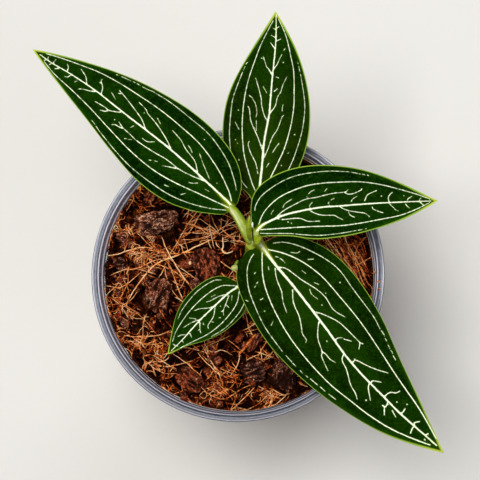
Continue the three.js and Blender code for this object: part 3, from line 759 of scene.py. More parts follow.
def finish_blade(colours):
    """Velvet green: cloudy patches, a fine grain, a paler halo beside the nerves and near the margin, a
    lighter band along the midrib that is painted sheen, a yellow-green margin line, petiole colour at
    the base, and cream wherever nerve_gap is below zero."""
    paint = Finish("velvet_leaf")
    light, tip = colours.leaf_light, paint.value("tip")
    coarse_gap = paint.maths("SUBTRACT", paint.value("nerve_gap"), 0.16)
    gap = paint.maths("MAXIMUM", paint.beyond_nerve(), coarse_gap)
    grain = paint.noise(0.6, 3.0, 0.8)
    line = paint.mix(paint.remap(tip, 0.5, 1.0), colours.margin, colours.margin_tip)
    green = paint.layered(
        colours.leaf_dark,
        (paint.remap(paint.noise(7.0, 4.0, 0.6), 0.32, 0.68), colours.leaf_green),
        (paint.remap(paint.noise(1.6, 5.0, 0.65), 0.5, 0.75, 0.0, 0.4), light),
        (paint.remap(grain, 0.5, 0.72, 0.0, 0.6), light),
        (paint.remap(grain, 0.5, 0.32), colours.leaf_dark),
        (paint.remap(gap, 0.0, 0.5, 0.4, 0.0), light),
        # painted sheen along the midrib, and lighter green near the margin
        (paint.maths("MULTIPLY", paint.value("midrib_sheen_and_brim"), 0.35), light),
        (paint.value("flush"), colours.leaf_olive),
        (paint.remap(paint.value("margin_gap"), 0.12, 0.38, 0.95, 0.0), line),
        (paint.value("stalk"), colours.petiole),
    )
    cream = paint.mix(paint.value("nerve_pale"), colours.nerve_faint, colours.nerve)
    cream = paint.mix(paint.maths("MULTIPLY", tip, 0.25), cream, colours.margin_tip)
    ragged = paint.maths("ADD", gap, paint.remap(grain, 0.3, 0.7, -0.03, 0.03))
    nerve = paint.remap(ragged, -0.05, 0.05, 1.0, 0.0)
    cells = paint.bump(paint.cells(0.34), 0.05, 0.6)
    lumps = paint.bump(paint.noise(1.0, 4.0, 0.6), 0.1, 0.6, cells)
    return paint.finished(Base_Color=paint.mix(nerve, green, cream), Specular_IOR_Level=0.0,
                          Roughness=paint.remap(grain, 0.3, 0.7, 0.7, 0.85),
                          Normal=paint.bump(nerve, 0.05, 0.6, lumps))


def finish_underside(colours):
    """Matt grey-green with slightly paler nerves."""
    paint = Finish("leaf_underside")
    tint = colours.underside
    green = paint.layered(
        tint,
        (paint.remap(paint.noise(4.0, 4.0), 0.3, 0.7), times(0.7, tint)),
        (paint.remap(paint.value("nerve_gap"), -0.05, 0.35, 0.6, 0.0), np.minimum(1, times(1.8, tint))),
        (paint.value("stalk"), colours.petiole),
    )
    return paint.finished(Base_Color=green, Roughness=0.6, Specular_IOR_Level=0.2,
                          Normal=paint.bump(paint.cells(0.4), 0.04, 0.6))


def finish_petiole(colours):
    """Fleshy yellow-green, deeper green at its sides, with a whitish channel, white where channel passes 1,
    and near black where deep passes 1, which paints the shadow in the slit.
    """
    paint = Finish("petiole_flesh")
    channel, deep = paint.value("channel"), paint.value("deep")
    flesh = paint.layered(
        colours.petiole,
        (paint.remap(paint.noise(1.2, 4.0), 0.35, 0.7, 0.0, 0.6), colours.petiole_deep),
        (deep, colours.petiole_deep),
        (channel, colours.petiole_channel),
        (paint.remap(channel, 1.0, 1.6), colours.nerve),
        # painted shadow: deep above 1 turns near black
        (paint.remap(deep, 1.1, 2.0), times(0.08, colours.petiole_deep)),
    )
    return paint.finished(Base_Color=flesh, Roughness=0.35, Specular_IOR_Level=0.3, Subsurface_Weight=0.15,
                          Subsurface_Scale=0.001, Normal=paint.bump(paint.noise(0.35, 2.0), 0.05, 0.5))


def finish_stem(colours):
    """Olive-green skin with fine lines along it, under thin whitish-green sheaths."""
    paint = Finish("stem_skin")
    skin = paint.mix(paint.remap(paint.noise(2.5, 4.0), 0.35, 0.7), colours.petiole_deep, colours.stem)
    cuff = paint.mix(paint.remap(paint.noise(0.8, 5.0), 0.35, 0.65), colours.sheath,
                     times(0.6, colours.sheath))
    lines = paint.noise(0.3, 2.0, place=paint.stretched((1, 1, 0.12)))
    return paint.finished(Base_Color=paint.mix(paint.value("sheath"), skin, cuff), Roughness=0.5,
                          Specular_IOR_Level=0.12, Subsurface_Weight=0.1, Subsurface_Scale=0.001,
                          Normal=paint.bump(lines, 0.12, 0.6))


def finish_coir(colours):
    """Fibre colours by the tone that each fibre carries, which holds painted shade for deep-lying fibres,
    with lighter and darker stretches along it.
    """
    paint = Finish("coir_fibre")
    stretches = paint.maths("ADD", paint.remap(paint.noise(2.0, 4.0), 0.3, 0.7, -0.16, 0.16),
                            paint.remap(paint.noise(0.6, 3.0, 0.6), 0.3, 0.7, -0.2, 0.2))
    tone = paint.maths("ADD", paint.value("tone"), stretches)
    coir = colours.coir
    stops = [(0.0, times(0.01, coir)), (0.28, times(0.1, coir)), (0.5, coir), (0.76, colours.coir_light),
             (1.0, colours.coir_cream)]
    return paint.finished(Base_Color=paint.ramp(tone, stops), Roughness=0.55, Specular_IOR_Level=0.06,
                          Normal=paint.bump(paint.noise(0.25, 2.0), 0.04, 0.4))


def finish_bed(colours):
    """Moist crumb, painted nearly black as the shade between the fibres, with patches of red-brown pith;
    lighter clods low down and at the wall, where that painted shade is left out.
    """
    paint = Finish("coir_pith")
    coir = colours.coir
    patch = paint.remap(paint.noise(1.6, 6.0, 0.75), 0.52, 0.72)
    # painted shade: the top of the bed is nearly black, partly as moist crumb and partly as the shade under
    # the fibres
    damp_and_shade = paint.mix(patch, times(0.005, coir), times(0.05, coir))
    clod = tuple(0.24 * a + 0.11 * b for a, b in zip(coir, colours.coir_light))
    lit = paint.maths("MULTIPLY", paint.remap(paint.noise(1.2, 6.0, 0.8), 0.36, 0.64),
                      paint.remap(paint.noise(6.0, 3.0, 0.6), 0.35, 0.6, 0.35, 1.0))
    low_down = paint.remap(paint.along("Z"), MIX_SURFACE - 3.5, MIX_SURFACE - 2, 1.0, 0.0)
    beside_wall = paint.maths("MAXIMUM", low_down, paint.remap(paint.radius(), 40.6, 41.2))
    crumb = paint.mix(beside_wall, damp_and_shade, paint.mix(lit, times(0.06, coir), clod))
    return paint.finished(Base_Color=crumb, Roughness=0.95, Specular_IOR_Level=0.0,
                          Normal=paint.bump(paint.noise(0.7, 6.0, 0.7), 0.5, 0.9))


def finish_bark(colours):
    """Purple-brown to red-brown husk: layers along the chip's own length; painted shade in the cracks
    between them, in the splits and on the chip's low flanks; painted highlights on the ridges; and small
    pale flecks there, partly the husk's own specks and partly painted glints."""
    paint = Finish("husk_bark")
    local, relief, redness = paint.value("local", "Vector"), paint.value("relief"), paint.value("redness")
    layers = paint.noise(0.62, 7.0, 0.75, place=paint.stretched((0.55, 1.0, 1.0), local))
    splits = paint.noise(2.4, 4.0, 0.6, place=paint.stretched((0.4, 1.0, 1.0), local))
    bark, red, fleck = colours.bark, colours.bark_red, colours.bark_fleck_and_glint
    body = paint.remap(layers, 0.4, 0.6)
    dark = paint.mix(body, times(0.06, red), bark)
    warm = paint.mix(body, times(0.08, red), red)
    share = paint.maths("MULTIPLY", redness, paint.remap(paint.noise(2.6, 4.0), 0.3, 0.62, 0.2, 1.4))
    ridge_highlight = paint.maths("MULTIPLY", paint.remap(relief, 0.5, 0.85),
                        paint.remap(layers, 0.5, 0.62, 0.0, 0.95))
    red_ridge_highlight = tuple(0.55 * a + 0.3 * b for a, b in zip(red, fleck))
    flecks = paint.maths("MULTIPLY", paint.remap(paint.noise(0.42, 3.0, 0.65), 0.58, 0.65),
                         paint.remap(relief, 0.3, 0.55))
    husk = paint.layered(
        paint.mix(share, dark, warm),
        # painted shade in the splits, and where relief is low: in the cracks and on the flanks that face
        # down
        (paint.remap(splits, 0.47, 0.36, 0.0, 0.85), times(0.05, bark)),
        (paint.remap(relief, 0.5, 0.2, 0.0, 0.9), times(0.04, bark)),
        # painted highlights on the ridges, and flecks that are partly painted glints
        (ridge_highlight, paint.mix(share, fleck, red_ridge_highlight)),
        (paint.maths("MULTIPLY", flecks, paint.remap(redness, 0.1, 0.6, 1.0, 0.4)), fleck),
    )
    small = paint.bump(paint.noise(0.3, 4.0), 0.12, 0.6)
    return paint.finished(Base_Color=husk, Roughness=0.7, Specular_IOR_Level=0.04,
                          Normal=paint.bump(splits, 0.8, 0.8, paint.bump(layers, 0.45, 0.9, small)))


def finish_wall(colours):
    """Thin clear plastic with faint scuffs, nearly all of it see-through."""
    paint = Finish("clear_wall")
    tint = colours.plastic
    return paint.finished(
        Base_Color=paint.mix(paint.remap(paint.noise(9.0, 5.0), 0.3, 0.7), tint, times(0.7, tint)),
        Roughness=paint.remap(paint.noise(3.0, 5.0, 0.7), 0.3, 0.8, 0.08, 0.25),
        Alpha=WALL_ALPHA, IOR=PLASTIC_IOR, Specular_IOR_Level=1.0,
        Normal=paint.bump(paint.noise(14.0, 2.0), 0.3, 0.3))


def finish_rim(colours):
    """The thick rim: painted highlights at the lip, at the mouth's edge and along the ledge, standing in
    for the light that clear plastic pipes to its edges; grey-blue and finely clouded on the flat, dark
    down the throat, and painted darker towards the front as shade."""
    paint = Finish("clear_rim")
    tint, bright = colours.plastic, colours.plastic_edge_highlight
    low, rim, mouth = POT["ledge_radius"], POT["rim_radius"], POT["mouth_radius"]
    reach = paint.maths("ADD", paint.radius(), paint.remap(paint.noise(5.0, 3.0), 0.3, 0.7, -0.04, 0.04))
    cloud = paint.remap(paint.noise(1.6, 6.0, 0.7, place=paint.stretched((1, 1, 0.3))), 0.3, 0.7)
    flat = paint.mix(cloud, times(0.2, tint), times(0.38, tint))
    throat = tuple(1.3 * a * b for a, b in zip(tint, (1.0, 0.82, 0.8)))
    specks = paint.remap(paint.noise(0.7, 5.0, 0.75), 0.42, 0.62)
    upper = paint.layered(
        paint.mix(specks, times(0.35, throat), throat),
        # painted highlight along the mouth's edge
        (paint.remap(reach, mouth - 0.04, mouth + 0.06), bright),
        (paint.remap(reach, mouth + 0.22, mouth + 0.5), flat),
        # painted highlight at the lip
        (paint.remap(reach, rim - 0.78, rim - 0.62), bright),
        (paint.remap(reach, rim - 0.3, rim - 0.16), times(0.2, tint)),
    )
    # painted highlight: a ring along the ledge
    upper = paint.mix(paint.remap(reach, low + 0.24, low + 0.34), times(1.3, bright), upper)
    scuffs = paint.remap(paint.noise(2.2, 5.0, 0.75), 0.42, 0.54)
    scuffed = paint.mix(scuffs, times(0.12, throat), times(0.75, tint))
    inside = paint.maths("MAXIMUM", paint.remap(paint.along("Z"), LEDGE - 0.5, LEDGE - 0.3),
                         paint.remap(reach, low + 0.4, low + 0.5))
    # painted shade: the rim is darker towards the front
    front_shade = paint.remap(paint.along("Y"), -40, -4, 0.45, 0.0)
    return paint.finished(
        Base_Color=paint.mix(front_shade, paint.mix(inside, scuffed, upper), times(0.1, tint)),
        Roughness=0.25, Alpha=RIM_ALPHA, IOR=PLASTIC_IOR, Specular_IOR_Level=0.25,
        Normal=paint.bump(paint.noise(2.0, 5.0, 0.7), 0.06, 0.4))


def finish_floor(colours):
    """Plain pale floor."""
    paint = Finish("pale_floor")
    pale = paint.mix(paint.noise(60.0, 3.0), colours.floor, times(0.97, colours.floor))
    return paint.finished(Base_Color=pale, Roughness=0.8, Specular_IOR_Level=0.2)


# ------------ leaves

MIDRIB_SAMPLES = 600
SPAN_PIECES = 5  # straight pieces between two points of a nerve
FAR = 99.0  # pixels, more than any gap to a nerve
LONG_KINDS = ("midrib", "inner", "outer")
LONG_REACH, SHORT_REACH = 30, 8  # pixels round a long or a short nerve in which it counts
GRID_STRETCH = 1.3  # a blade's grid is this much wider along it, and narrower across
OFF_BLADE = 4.0  # the gap that the stalk carries, beyond every nerve and margin


def midrib_frame(leaf, t):
    """Points and level sideways directions of the cubic midrib at shares t of its length, and the
    length. The cubic is evened out by the running length of its samples."""
    controls = np.array(leaf["midrib"], float)
    s = np.linspace(0, 1, MIDRIB_SAMPLES)[:, None]
    samples = np.hstack(((1 - s) ** 3, 3 * s * (1 - s) ** 2, 3 * s * s * (1 - s), s**3)) @ controls
    slope = 3 * np.hstack(((1 - s) ** 2, 2 * s * (1 - s), s * s)) @ np.diff(controls, axis=0)
    run = np.concatenate(([0], np.cumsum(np.linalg.norm(np.diff(samples, axis=0), axis=1))))
    level = unit(columns_at(t * run[-1], run, slope) * (1, 1, 0))
    across = packed(-level[:, 1], level[:, 0], np.zeros(len(t)))
    return columns_at(t * run[-1], run, samples), across, run[-1]


def stroke_gap(pixels, stroke, halves):
    """Pixels from each point to the edge of a stroke: the distance to the nearest of its short straight
    pieces, less the half-width there, which changes evenly from its first to its last point. Also the
    way to the point from that nearest place, with the half-width as its third number."""
    line = curve_through(stroke, 1 + SPAN_PIECES * (len(stroke) - 1))
    half = np.linspace(*halves, len(line))
    gap = np.full(len(pixels), FAR)
    beside = np.zeros((len(pixels), 3))
    for k in range(len(line) - 1):
        piece = line[k + 1] - line[k]
        away = pixels - line[k]
        share = np.clip(away @ piece / max(piece @ piece, 1e-9), 0, 1)
        away = away - share[:, None] * piece
        width = half[k] + share * (half[k + 1] - half[k])
        reach = np.linalg.norm(away, axis=1) - width
        closer = reach < gap
        gap[closer] = reach[closer]
        beside[closer] = np.column_stack((away, width))[closer]
    return gap, beside


def nerve_values(name, pixels, width):
    """The gap to the nearest nerve, in millimetres and below zero inside it, how pale that nerve is, the
    gap to the nearest long nerve, and the way from the nearest nerve with its half-width."""
    scale = (VIEW_EYE[2] - VIEW_AIM[2]) / VIEW_FOCAL
    gap, long_gap = np.full((2, len(pixels)), FAR)
    pale = np.zeros(len(pixels))
    beside = np.full((len(pixels), 3), (12.0, 12.0, 0.0))
    for kind, (first, last, paleness) in NERVE_KINDS.items():
        reach = LONG_REACH if kind in LONG_KINDS else SHORT_REACH
        for stroke in map(pairs, NERVES[name][kind]):
            low, high = stroke.min(axis=0) - reach, stroke.max(axis=0) + reach
            near = np.flatnonzero(np.all((pixels > low) & (pixels < high), axis=1))
            found, away = stroke_gap(pixels[near], stroke, (first * width, last * width))
            closer = found < gap[near]
            pale[near[closer]] = paleness
            beside[near[closer]] = away[closer]
            gap[near] = np.minimum(gap[near], found)
            if kind in LONG_KINDS:
                long_gap[near] = np.minimum(long_gap[near], found)
    for speck in pairs(NERVES[name]["specks"]):
        away = pixels - speck
        found = np.linalg.norm(away, axis=1) - SPECK_RADIUS * width
        closer = found < gap
        pale[closer] = SPECK_PALENESS
        beside[closer, :2] = away[closer]
        beside[closer, 2] = SPECK_RADIUS * width
        gap = np.minimum(gap, found)
    return gap * scale, pale, long_gap * scale, beside * scale


def blade(name, leaf, sizes):
    """The blade's upper face over (t, q): the midrib at t, plus q times the half-width sideways, plus a
    rise that grows as sin(90 deg * |q|), a wave that grows as q squared, a furrow along each long nerve
    and soft puckers between them. Near the base the right side is drawn back as a lobe, by the sine of
    its share of the ear's width. The lower face is the same grid, lower by the thickness, with a keel
    below the midrib. Returns points, faces, values and the materials of the faces."""
    _, _, length = midrib_frame(leaf, np.zeros(1))
    rows = int(length / sizes.leaf_grid * MM / GRID_STRETCH) + 1
    columns = 2 * int(GRID_STRETCH * max(leaf["left"] + leaf["right"]) / sizes.leaf_grid * MM) + 1
    t = np.linspace(0, 1, rows) ** 1.2
    q = np.linspace(-1, 1, columns)
    points, across, _ = midrib_frame(leaf, t)
    opening = np.sqrt(np.clip(t / 0.006, 0, 1))
    left, right = (smooth_at(STATIONS, leaf[side], np.sqrt(t)) * opening for side in ("left", "right"))
    t = t[:, None]
    half = np.maximum(np.where(q > 0, left[:, None], right[:, None]) - 0.25 * t**30, 0.03)
    fullness = half / np.where(q > 0, max(leaf["left"]), max(leaf["right"]))
    cup = leaf["rise"] * fullness * np.sin(math.pi / 2 * np.abs(q))
    swing = leaf["wave"] * fullness * q * q * np.sin(TURN * leaf["waves"] * t + np.sign(q))
    upper = points[:, None, :] + (q * half)[..., None] * across[:, None, :]
    upper[..., 2] += cup + swing
    ear_length, ear_width = leaf.get("ear", (0.0, 1.0))
    lobe = np.sin(math.pi * np.clip(-q * half / ear_width, 0, 1)).clip(0) ** 0.7
    lobe *= ear_length * smoothstep(0.08, 0.0, t)
    upper[..., 0] -= lobe * across[:, None, 1]
    upper[..., 1] += lobe * across[:, None, 0]

    width = sizes.nerve_width * leaf.get("nerves", 1.0)
    found = nerve_values(name, to_view(upper).reshape(-1, 2), width)
    gap, pale, long_gap, beside = (numbers.reshape(*half.shape, *numbers.shape[1:]) for numbers in found)
    thinner = 0.045 * ripples(upper, 1.1, 11) - leaf.get("bold", 0.0) * smoothstep(0.5, 0.9, t)
    beside[..., 2] -= thinner
    from_margin = (1 - np.abs(q)) * half
    from_nerve = np.maximum(long_gap, 0)
    puckers = 0.08 * ripples(upper, 5.0, 3) + 0.03 * ripples(upper, 1.7, 5)
    relief = puckers * smoothstep(0.1, 1.6, long_gap) - 0.25 * bell(from_nerve, 1.0)
    upper[..., 2] += relief * smoothstep(0.0, 3.0, from_margin)

    sideways = np.abs(q * half)
    keel = 0.8 * (1 - t) * bell(sideways, 0.75)
    upper[..., 2] -= 0.45 * smoothstep(0.02, 0.0, t)
    lower = upper.copy()
    lower[..., 2] -= 0.3 + 0.25 * smoothstep(0.0, 1.5, from_margin) + keel

    margin = leaf.get("margin", 1.0) + leaf.get("widening", 1.1) * smoothstep(0.65, 1.0, t)
    margin_gap = np.minimum(from_margin, (1 - t) * length * 0.5) / margin
    flush = leaf["flush"] * (1 - t) ** 1.3 * (0.75 + 0.25 * ripples(upper, 6, 9))
    reach = 0.4 + 0.9 * smoothstep(0.09, 0.0, t) * STALKS[name]["radii"][0]
    stalk = smoothstep(0.12, 0.03, t) * bell(sideways, reach, 4)
    stalk = stalk * np.where(q < -0.12, leaf.get("right_tint", 1.0), 1.0)
    stalk *= 1 - (1 - bell(from_nerve, 0.4)) * smoothstep(0.0, 0.025, t)
    brim = bell(from_margin, 1.1) * smoothstep(0.4, 0.8, t)
    # painted sheen: lighter green along the midrib, fading towards the tip, and lighter near the margin in
    # the blade's outer half
    midrib_sheen_and_brim = (1 - 0.6 * t) * bell(sideways, 5.0) + 1.5 * brim
    values = {
        "nerve_gap": np.clip(gap + thinner, -1, 4), "nerve_side": beside, "nerve_pale": pale,
        "margin_gap": np.minimum(margin_gap, 5.0), "flush": np.clip(flush, 0, 1), "stalk": stalk,
        "midrib_sheen_and_brim": np.clip(midrib_sheen_and_brim, 0, 2), "tip": np.broadcast_to(smoothstep(0.8, 1.0, t), half.shape),
    }
    face = grid_faces(rows, columns)
    faces = np.concatenate((face[:, ::-1], face + rows * columns, sheet_edges(rows, columns)))
    shade = np.zeros(len(faces), np.int32)
    shade[len(face):2 * len(face)] = 1
    values = {label: np.concatenate([numbers.reshape(-1, *numbers.shape[2:])] * 2)
              for label, numbers in values.items()}
    return np.concatenate((upper, lower)).reshape(-1, 3), faces, values, shade


# Stalks from the blade to the stem: points of the centre line, the radius at each, and how far the
# channel is rolled round, in radians. channel is how pale the channel starts, how much of that it loses
# and between which shares of the way, and shade how deep a green the sides are, where not as usual.
USUAL_CHANNEL = (0.9, 0.75, 0.3, 0.85)
STALKS = {
    "leaf_upper_left": {
        "path": [(-0.3, 18, 92.4), (1.2, 16, 92.1), (2.8, 13.2, 92.0), (4.1, 10.8, 91.4), (5.0, 9.0, 89.0)],
        "radii": (1.15, 1.25, 1.4, 1.5, 1.4), "roll": -0.35,
    },
    "leaf_top": {
        "path": [(6.8, 20.8, 85.4), (6.3, 18, 85.9), (5.7, 14.6, 86.4), (5.3, 11.5, 86.6), (5.0, 9.2, 86.2)],
        "radii": (0.9, 1.1, 1.2, 1.4, 1.3), "roll": 0.0,
    },
    "leaf_right": {
        "path": [(7.1, 10.1, 97.4), (7.25, 9.7, 96.0), (7.3, 9.4, 93.5), (7.0, 9.3, 90.8), (6.2, 9.0, 87.5)],
        "radii": (1.3, 1.4, 1.4, 1.35, 1.35), "roll": 0.0,
        # painted light: shade 0 leaves out the deep green of the sides, so that this stalk stays light where
        # its own blade shades it
        "channel": (0.315, 0.2625, 0.3, 0.85), "shade": 0.0,
    },
    "leaf_lower_right": {
        "path": [(8.3, 7.3, 89.1), (7.9, 7.8, 91.0), (7.4, 8.4, 92.0), (6.6, 8.8, 91.0), (5.4, 8.4, 87.0)],
        "radii": (1.05, 1.15, 1.2, 1.25, 1.4), "roll": 0.1,
        # painted light: a channel above 1 turns the channel white near the blade, and shade 0 leaves out the
        # deep green of the sides, so that this stalk stays light in the shade under leaf_right
        "channel": (1.6, 0.8, 0.75, 1.0), "shade": 0.0,
    },
    "leaf_small": {
        "path": [(1.9, -3.1, 79.1), (2.1, -1.2, 78.8), (2.4, 0.6, 78.0), (2.9, 2.6, 77.0), (3.4, 4.0, 75.6)],
        "radii": (0.65, 0.8, 0.9, 1.2, 1.5), "roll": 0.0,
    },
}


def petiole(name, leaf):
    """The leaf's stalk: an oval carried along its path, wider than high, with a channel sunk into its
    top. It starts thin inside the blade and widens to clasp the stem. The channel is pale beside the
    blade and fades on the way."""
    stalk = STALKS[name]
    steps, sides = 90, 32
    inside, _, _ = midrib_frame(leaf, np.array([0.12, 0.05]))
    radii = np.array([0.3, 0.6 * stalk["radii"][0], *stalk["radii"]])
    inside[:, 2] -= 0.3 + 0.95 * radii[:2]
    path = curve_through([*inside, *stalk["path"]], steps)
    share = np.linspace(0, 1, steps)
    radius = smooth_at(np.linspace(0, 1, len(radii)), radii, share)
    angle = all_round(sides)
    from_top = angle - stalk["roll"]
    on_top = bell(np.cos(from_top), 0.36) * (np.sin(from_top) > 0)
    ribs = 1 + 0.02 * np.cos(9 * angle)
    ring = rings(path, 1.15 * ribs * np.cos(angle), 0.92 * np.sin(angle) - 0.22 * on_top)
    points = (path[:, None, :] + radius[:, None, None] * ring).reshape(-1, 3)
    walls = grid_faces(steps, sides, around=True)[:, ::-1]
    caps = np.stack((np.arange(sides), np.arange(sides)[::-1] + (steps - 1) * sides))
    pale, loss, near, far = stalk.get("channel", USUAL_CHANNEL)
    fade = pale - loss * smoothstep(near, far, share)
    green = 0.85 * np.abs(np.cos(from_top)) ** 3 + 0.25 * (np.sin(angle) < -0.2)
    return points, walls, caps, {"channel": np.outer(fade, on_top).ravel(),
                                 "deep": np.tile(stalk.get("shade", 1.0) * green, steps)}


def build_leaf(name, leaf, sizes, finishes):
    """Blade and stalk in one piece; each carries the other's values as far gaps or zeros."""
    points, faces, values, shade = blade(name, leaf, sizes)
    stalk, walls, caps, tints = petiole(name, leaf)
    start = len(points)
    for label, numbers in values.items():
        far = OFF_BLADE if label in ("nerve_gap", "nerve_side", "margin_gap") else 0.0
        values[label] = np.concatenate((numbers, np.full((len(stalk), *numbers.shape[1:]), far)))
    for label, numbers in tints.items():
        values[label] = np.concatenate((np.zeros(start), numbers))
    shade = np.concatenate((shade, np.full(len(walls) + len(caps), 2)))
    groups = [np.concatenate((faces, walls + start)), caps + start]
    return make_piece(f"{name}_fine", np.concatenate((points, stalk)), groups,
                      [finishes["blade"], finishes["underside"], finishes["petiole"]],
                      replaced=(name,), values=values, face_material=shade)


# ------------ stem

def stem_radius(share):
    """Radius falling with the cube of the share, with a swelling at each joint."""
    taper = STEM["radius"] + (STEM["top_radius"] - STEM["radius"]) * share**3
    swell = sum(bell(share - joint, 0.02) for joint in STEM["joints"])
    return taper + STEM["joint_swell"] * swell


SHEATH = {"start": 0.36, "end": 0.6, "flare": 0.1, "lean": 2.6, "point": 3}
SHEATH_THICKNESS = 0.22


def sheath(path, start, end, flare, lean, point):
    """A thin membranous cuff round the stem between two shares of its path. Its radius is the stem's
    plus flare times the square of the share of its height. Its upper edge runs out to a point on the
    side at the angle lean. It has an outer and an inner face."""
    rows, columns = 14, 40
    angle = all_round(columns)
    facing = 0.5 + 0.5 * np.cos(angle - lean)
    rise = np.linspace(0, 1, rows)[:, None] * (0.62 + 0.38 * facing**point)[None, :]
    share = start + (end - start) * rise
    place = columns_at(share, np.linspace(0, 1, len(path)), path)
    radius = stem_radius(share) + 0.18 + flare * rise**2 + 0.05 * np.sin(9 * angle)[None, :] * rise
    out = packed(np.cos(angle), np.sin(angle), np.zeros(columns))[None]
    outer = place + radius[..., None] * out
    inner = place + (radius - SHEATH_THICKNESS)[..., None] * out
    points = np.concatenate((outer, inner[::-1])).reshape(-1, 3)
    loop = grid_faces(2 * rows, columns, around=True)
    j = np.arange(columns)
    beside = (j + 1) % columns
    end_row = (2 * rows - 1) * columns
    foot = packed(end_row + j, end_row + beside, beside, j)
    return points, np.concatenate((loop, foot))


def build_stem(finishes):
    """Stem, sheath and roots in one piece."""
    steps, sides = 160, 28
    root_steps, root_sides = 50, 14
    path = curve_through(STEM["path"], steps)
    share = np.linspace(0, 1, steps)
    dome = np.sqrt(1 - 0.97 * np.clip((share - 0.975) / 0.025, 0, 1) ** 2)
    parts = [tubes(path[None], (stem_radius(share) * dome)[None], sides), sheath(path, **SHEATH)]
    for root in ROOTS:
        line = curve_through(root["path"], root_steps)
        line = line + 0.35 * wobble(line, 9, 20)
        radius = root["radius"] * (1 - 0.45 * np.linspace(0, 1, root_steps))
        parts.append(tubes(line[None], radius[None], root_sides))
    points, groups = joined(parts)
    skin, cuff = len(parts[0][0]), len(parts[1][0])
    paleness = np.zeros(len(points))
    paleness[:skin] = np.repeat(0.6 * smoothstep(0.87, 0.96, share), sides)
    paleness[skin:skin + cuff] = 0.6
    return make_piece("stem_fine", points, groups, [finishes["stem"]],
                      replaced=("stem_and_roots",), values={"sheath": paleness})


def rolled_leaf(path, foot, middle, slit):
    """A young leaf rolled round its path: a spiral sheet whose radius swells from the foot to the middle
    and dies away at the tip as 1 - u^2.4. The spiral runs 1.1 turns from the angle slit, growing by an
    eighth, so that its outer edge laps over the inner one. It is 0.2 mm thick."""
    rows, columns = 60, 52
    line = curve_through(path, rows)
    up = np.linspace(0, 1, rows)
    swollen = foot + (middle - foot) * np.sin(math.pi / 2 * np.minimum(up / 0.45, 1))
    radius = swollen * (1 - up**2.4) + 0.02
    sweep = np.linspace(0, 1, columns)
    angle = slit + 1.1 * TURN * sweep
    grow = 0.9 + 0.14 * sweep
    spoke = rings(line, np.cos(angle), np.sin(angle))
    outer = line[:, None, :] + radius[:, None, None] * grow[:, None] * spoke
    sheet = np.minimum(0.2, 0.5 * radius)[:, None, None]
    points = np.concatenate((outer, outer - sheet * spoke)).reshape(-1, 3)
    face = grid_faces(rows, columns)
    edges = sheet_edges(rows, columns)[:, [0, 3, 2, 1]]
    return points, np.concatenate((face, face[:, ::-1] + rows * columns, edges)), up, sweep


def lump(half, turn, tilt, place):
    """A small smooth egg: a ball times its half sizes, turned and placed."""
    points, walls, ends = ball(14, 18)
    return turned(points * half, turn, tilt) + place, walls, ends


# The rolled young leaf: place in the front view and height of each point along it.
YOUNG_LEAF = [((250.4, 240.0), 89.5), ((250.1, 234.0), 93.5), ((249.4, 227.0), 96.6), ((249.1, 221.0), 98.3),
              ((249.7, 215.0), 99.4)]

# Lumps beside it and at the foot: half sizes, turn and tilt in degrees, place in the front view, height,
# how pale and how deep green. A deep green above 1 turns near black, as painted shadow.
LUMPS = {
    "next_tip": ((0.3, 0.85, 0.45), 0, 20, (252.4, 224.8), 101.3, 1.6, 0.0),
    "bud": ((1.2, 0.95, 0.9), 15, 0, (234.6, 268.0), 74.6, 0.4, 0.0),
    "bud_scale": ((0.5, 1.2, 0.4), -28, 10, (236.2, 263.4), 74.4, 0.0, 0.9),
    "cup": ((1.5, 2.7, 1.2), 0, 28, (257.0, 236.8), 96.7, 0.0, 0.0),
    # a thin near-black lump put in the slit as painted shadow
    "painted_shadow_slit": ((0.22, 2.4, 0.35), 3, 30, (252.6, 234.6), 98.3, 0.0, 2.0),
    "neck": ((0.24, 0.5, 2.2), 0, 7, (252.4, 224.8), 99.2, 0.0, 0.0),
}


def build_heart(finishes):
    """The rolled young leaf in the middle, the pale tip of the next one, and the bud at the foot."""
    path = [from_view(pixel, height) for pixel, height in YOUNG_LEAF]
    roll, walls, up, sweep = rolled_leaf(path, 0.7, 1.2, 0.15)
    halves, turns, tilts, pixels, heights, pale, deep = zip(*LUMPS.values())
    lumps = list(map(lump, halves, turns, tilts, from_view(pixels, heights)))
    points, groups = joined([(roll, walls), *lumps])
    size = len(lumps[0][0])
    edge = bell(np.minimum(sweep, 1 - sweep), 0.03)
    sheet = 0.35 * edge[None, :] + 0.25 * smoothstep(0.75, 1.0, up)[:, None]
    green = np.broadcast_to(0.25 - 0.2 * up[:, None], sheet.shape)
    return make_piece("young_leaf_and_bud", points, groups, [finishes["petiole"]], values={
        "channel": np.concatenate((sheet.ravel(), np.zeros(sheet.size), np.repeat(pale, size))),
        # the roll's inner face is all deep green, as painted shade inside the roll
        "deep": np.concatenate((green.ravel(), np.ones(green.size), np.repeat(deep, size))),
    })


# ------------ pot

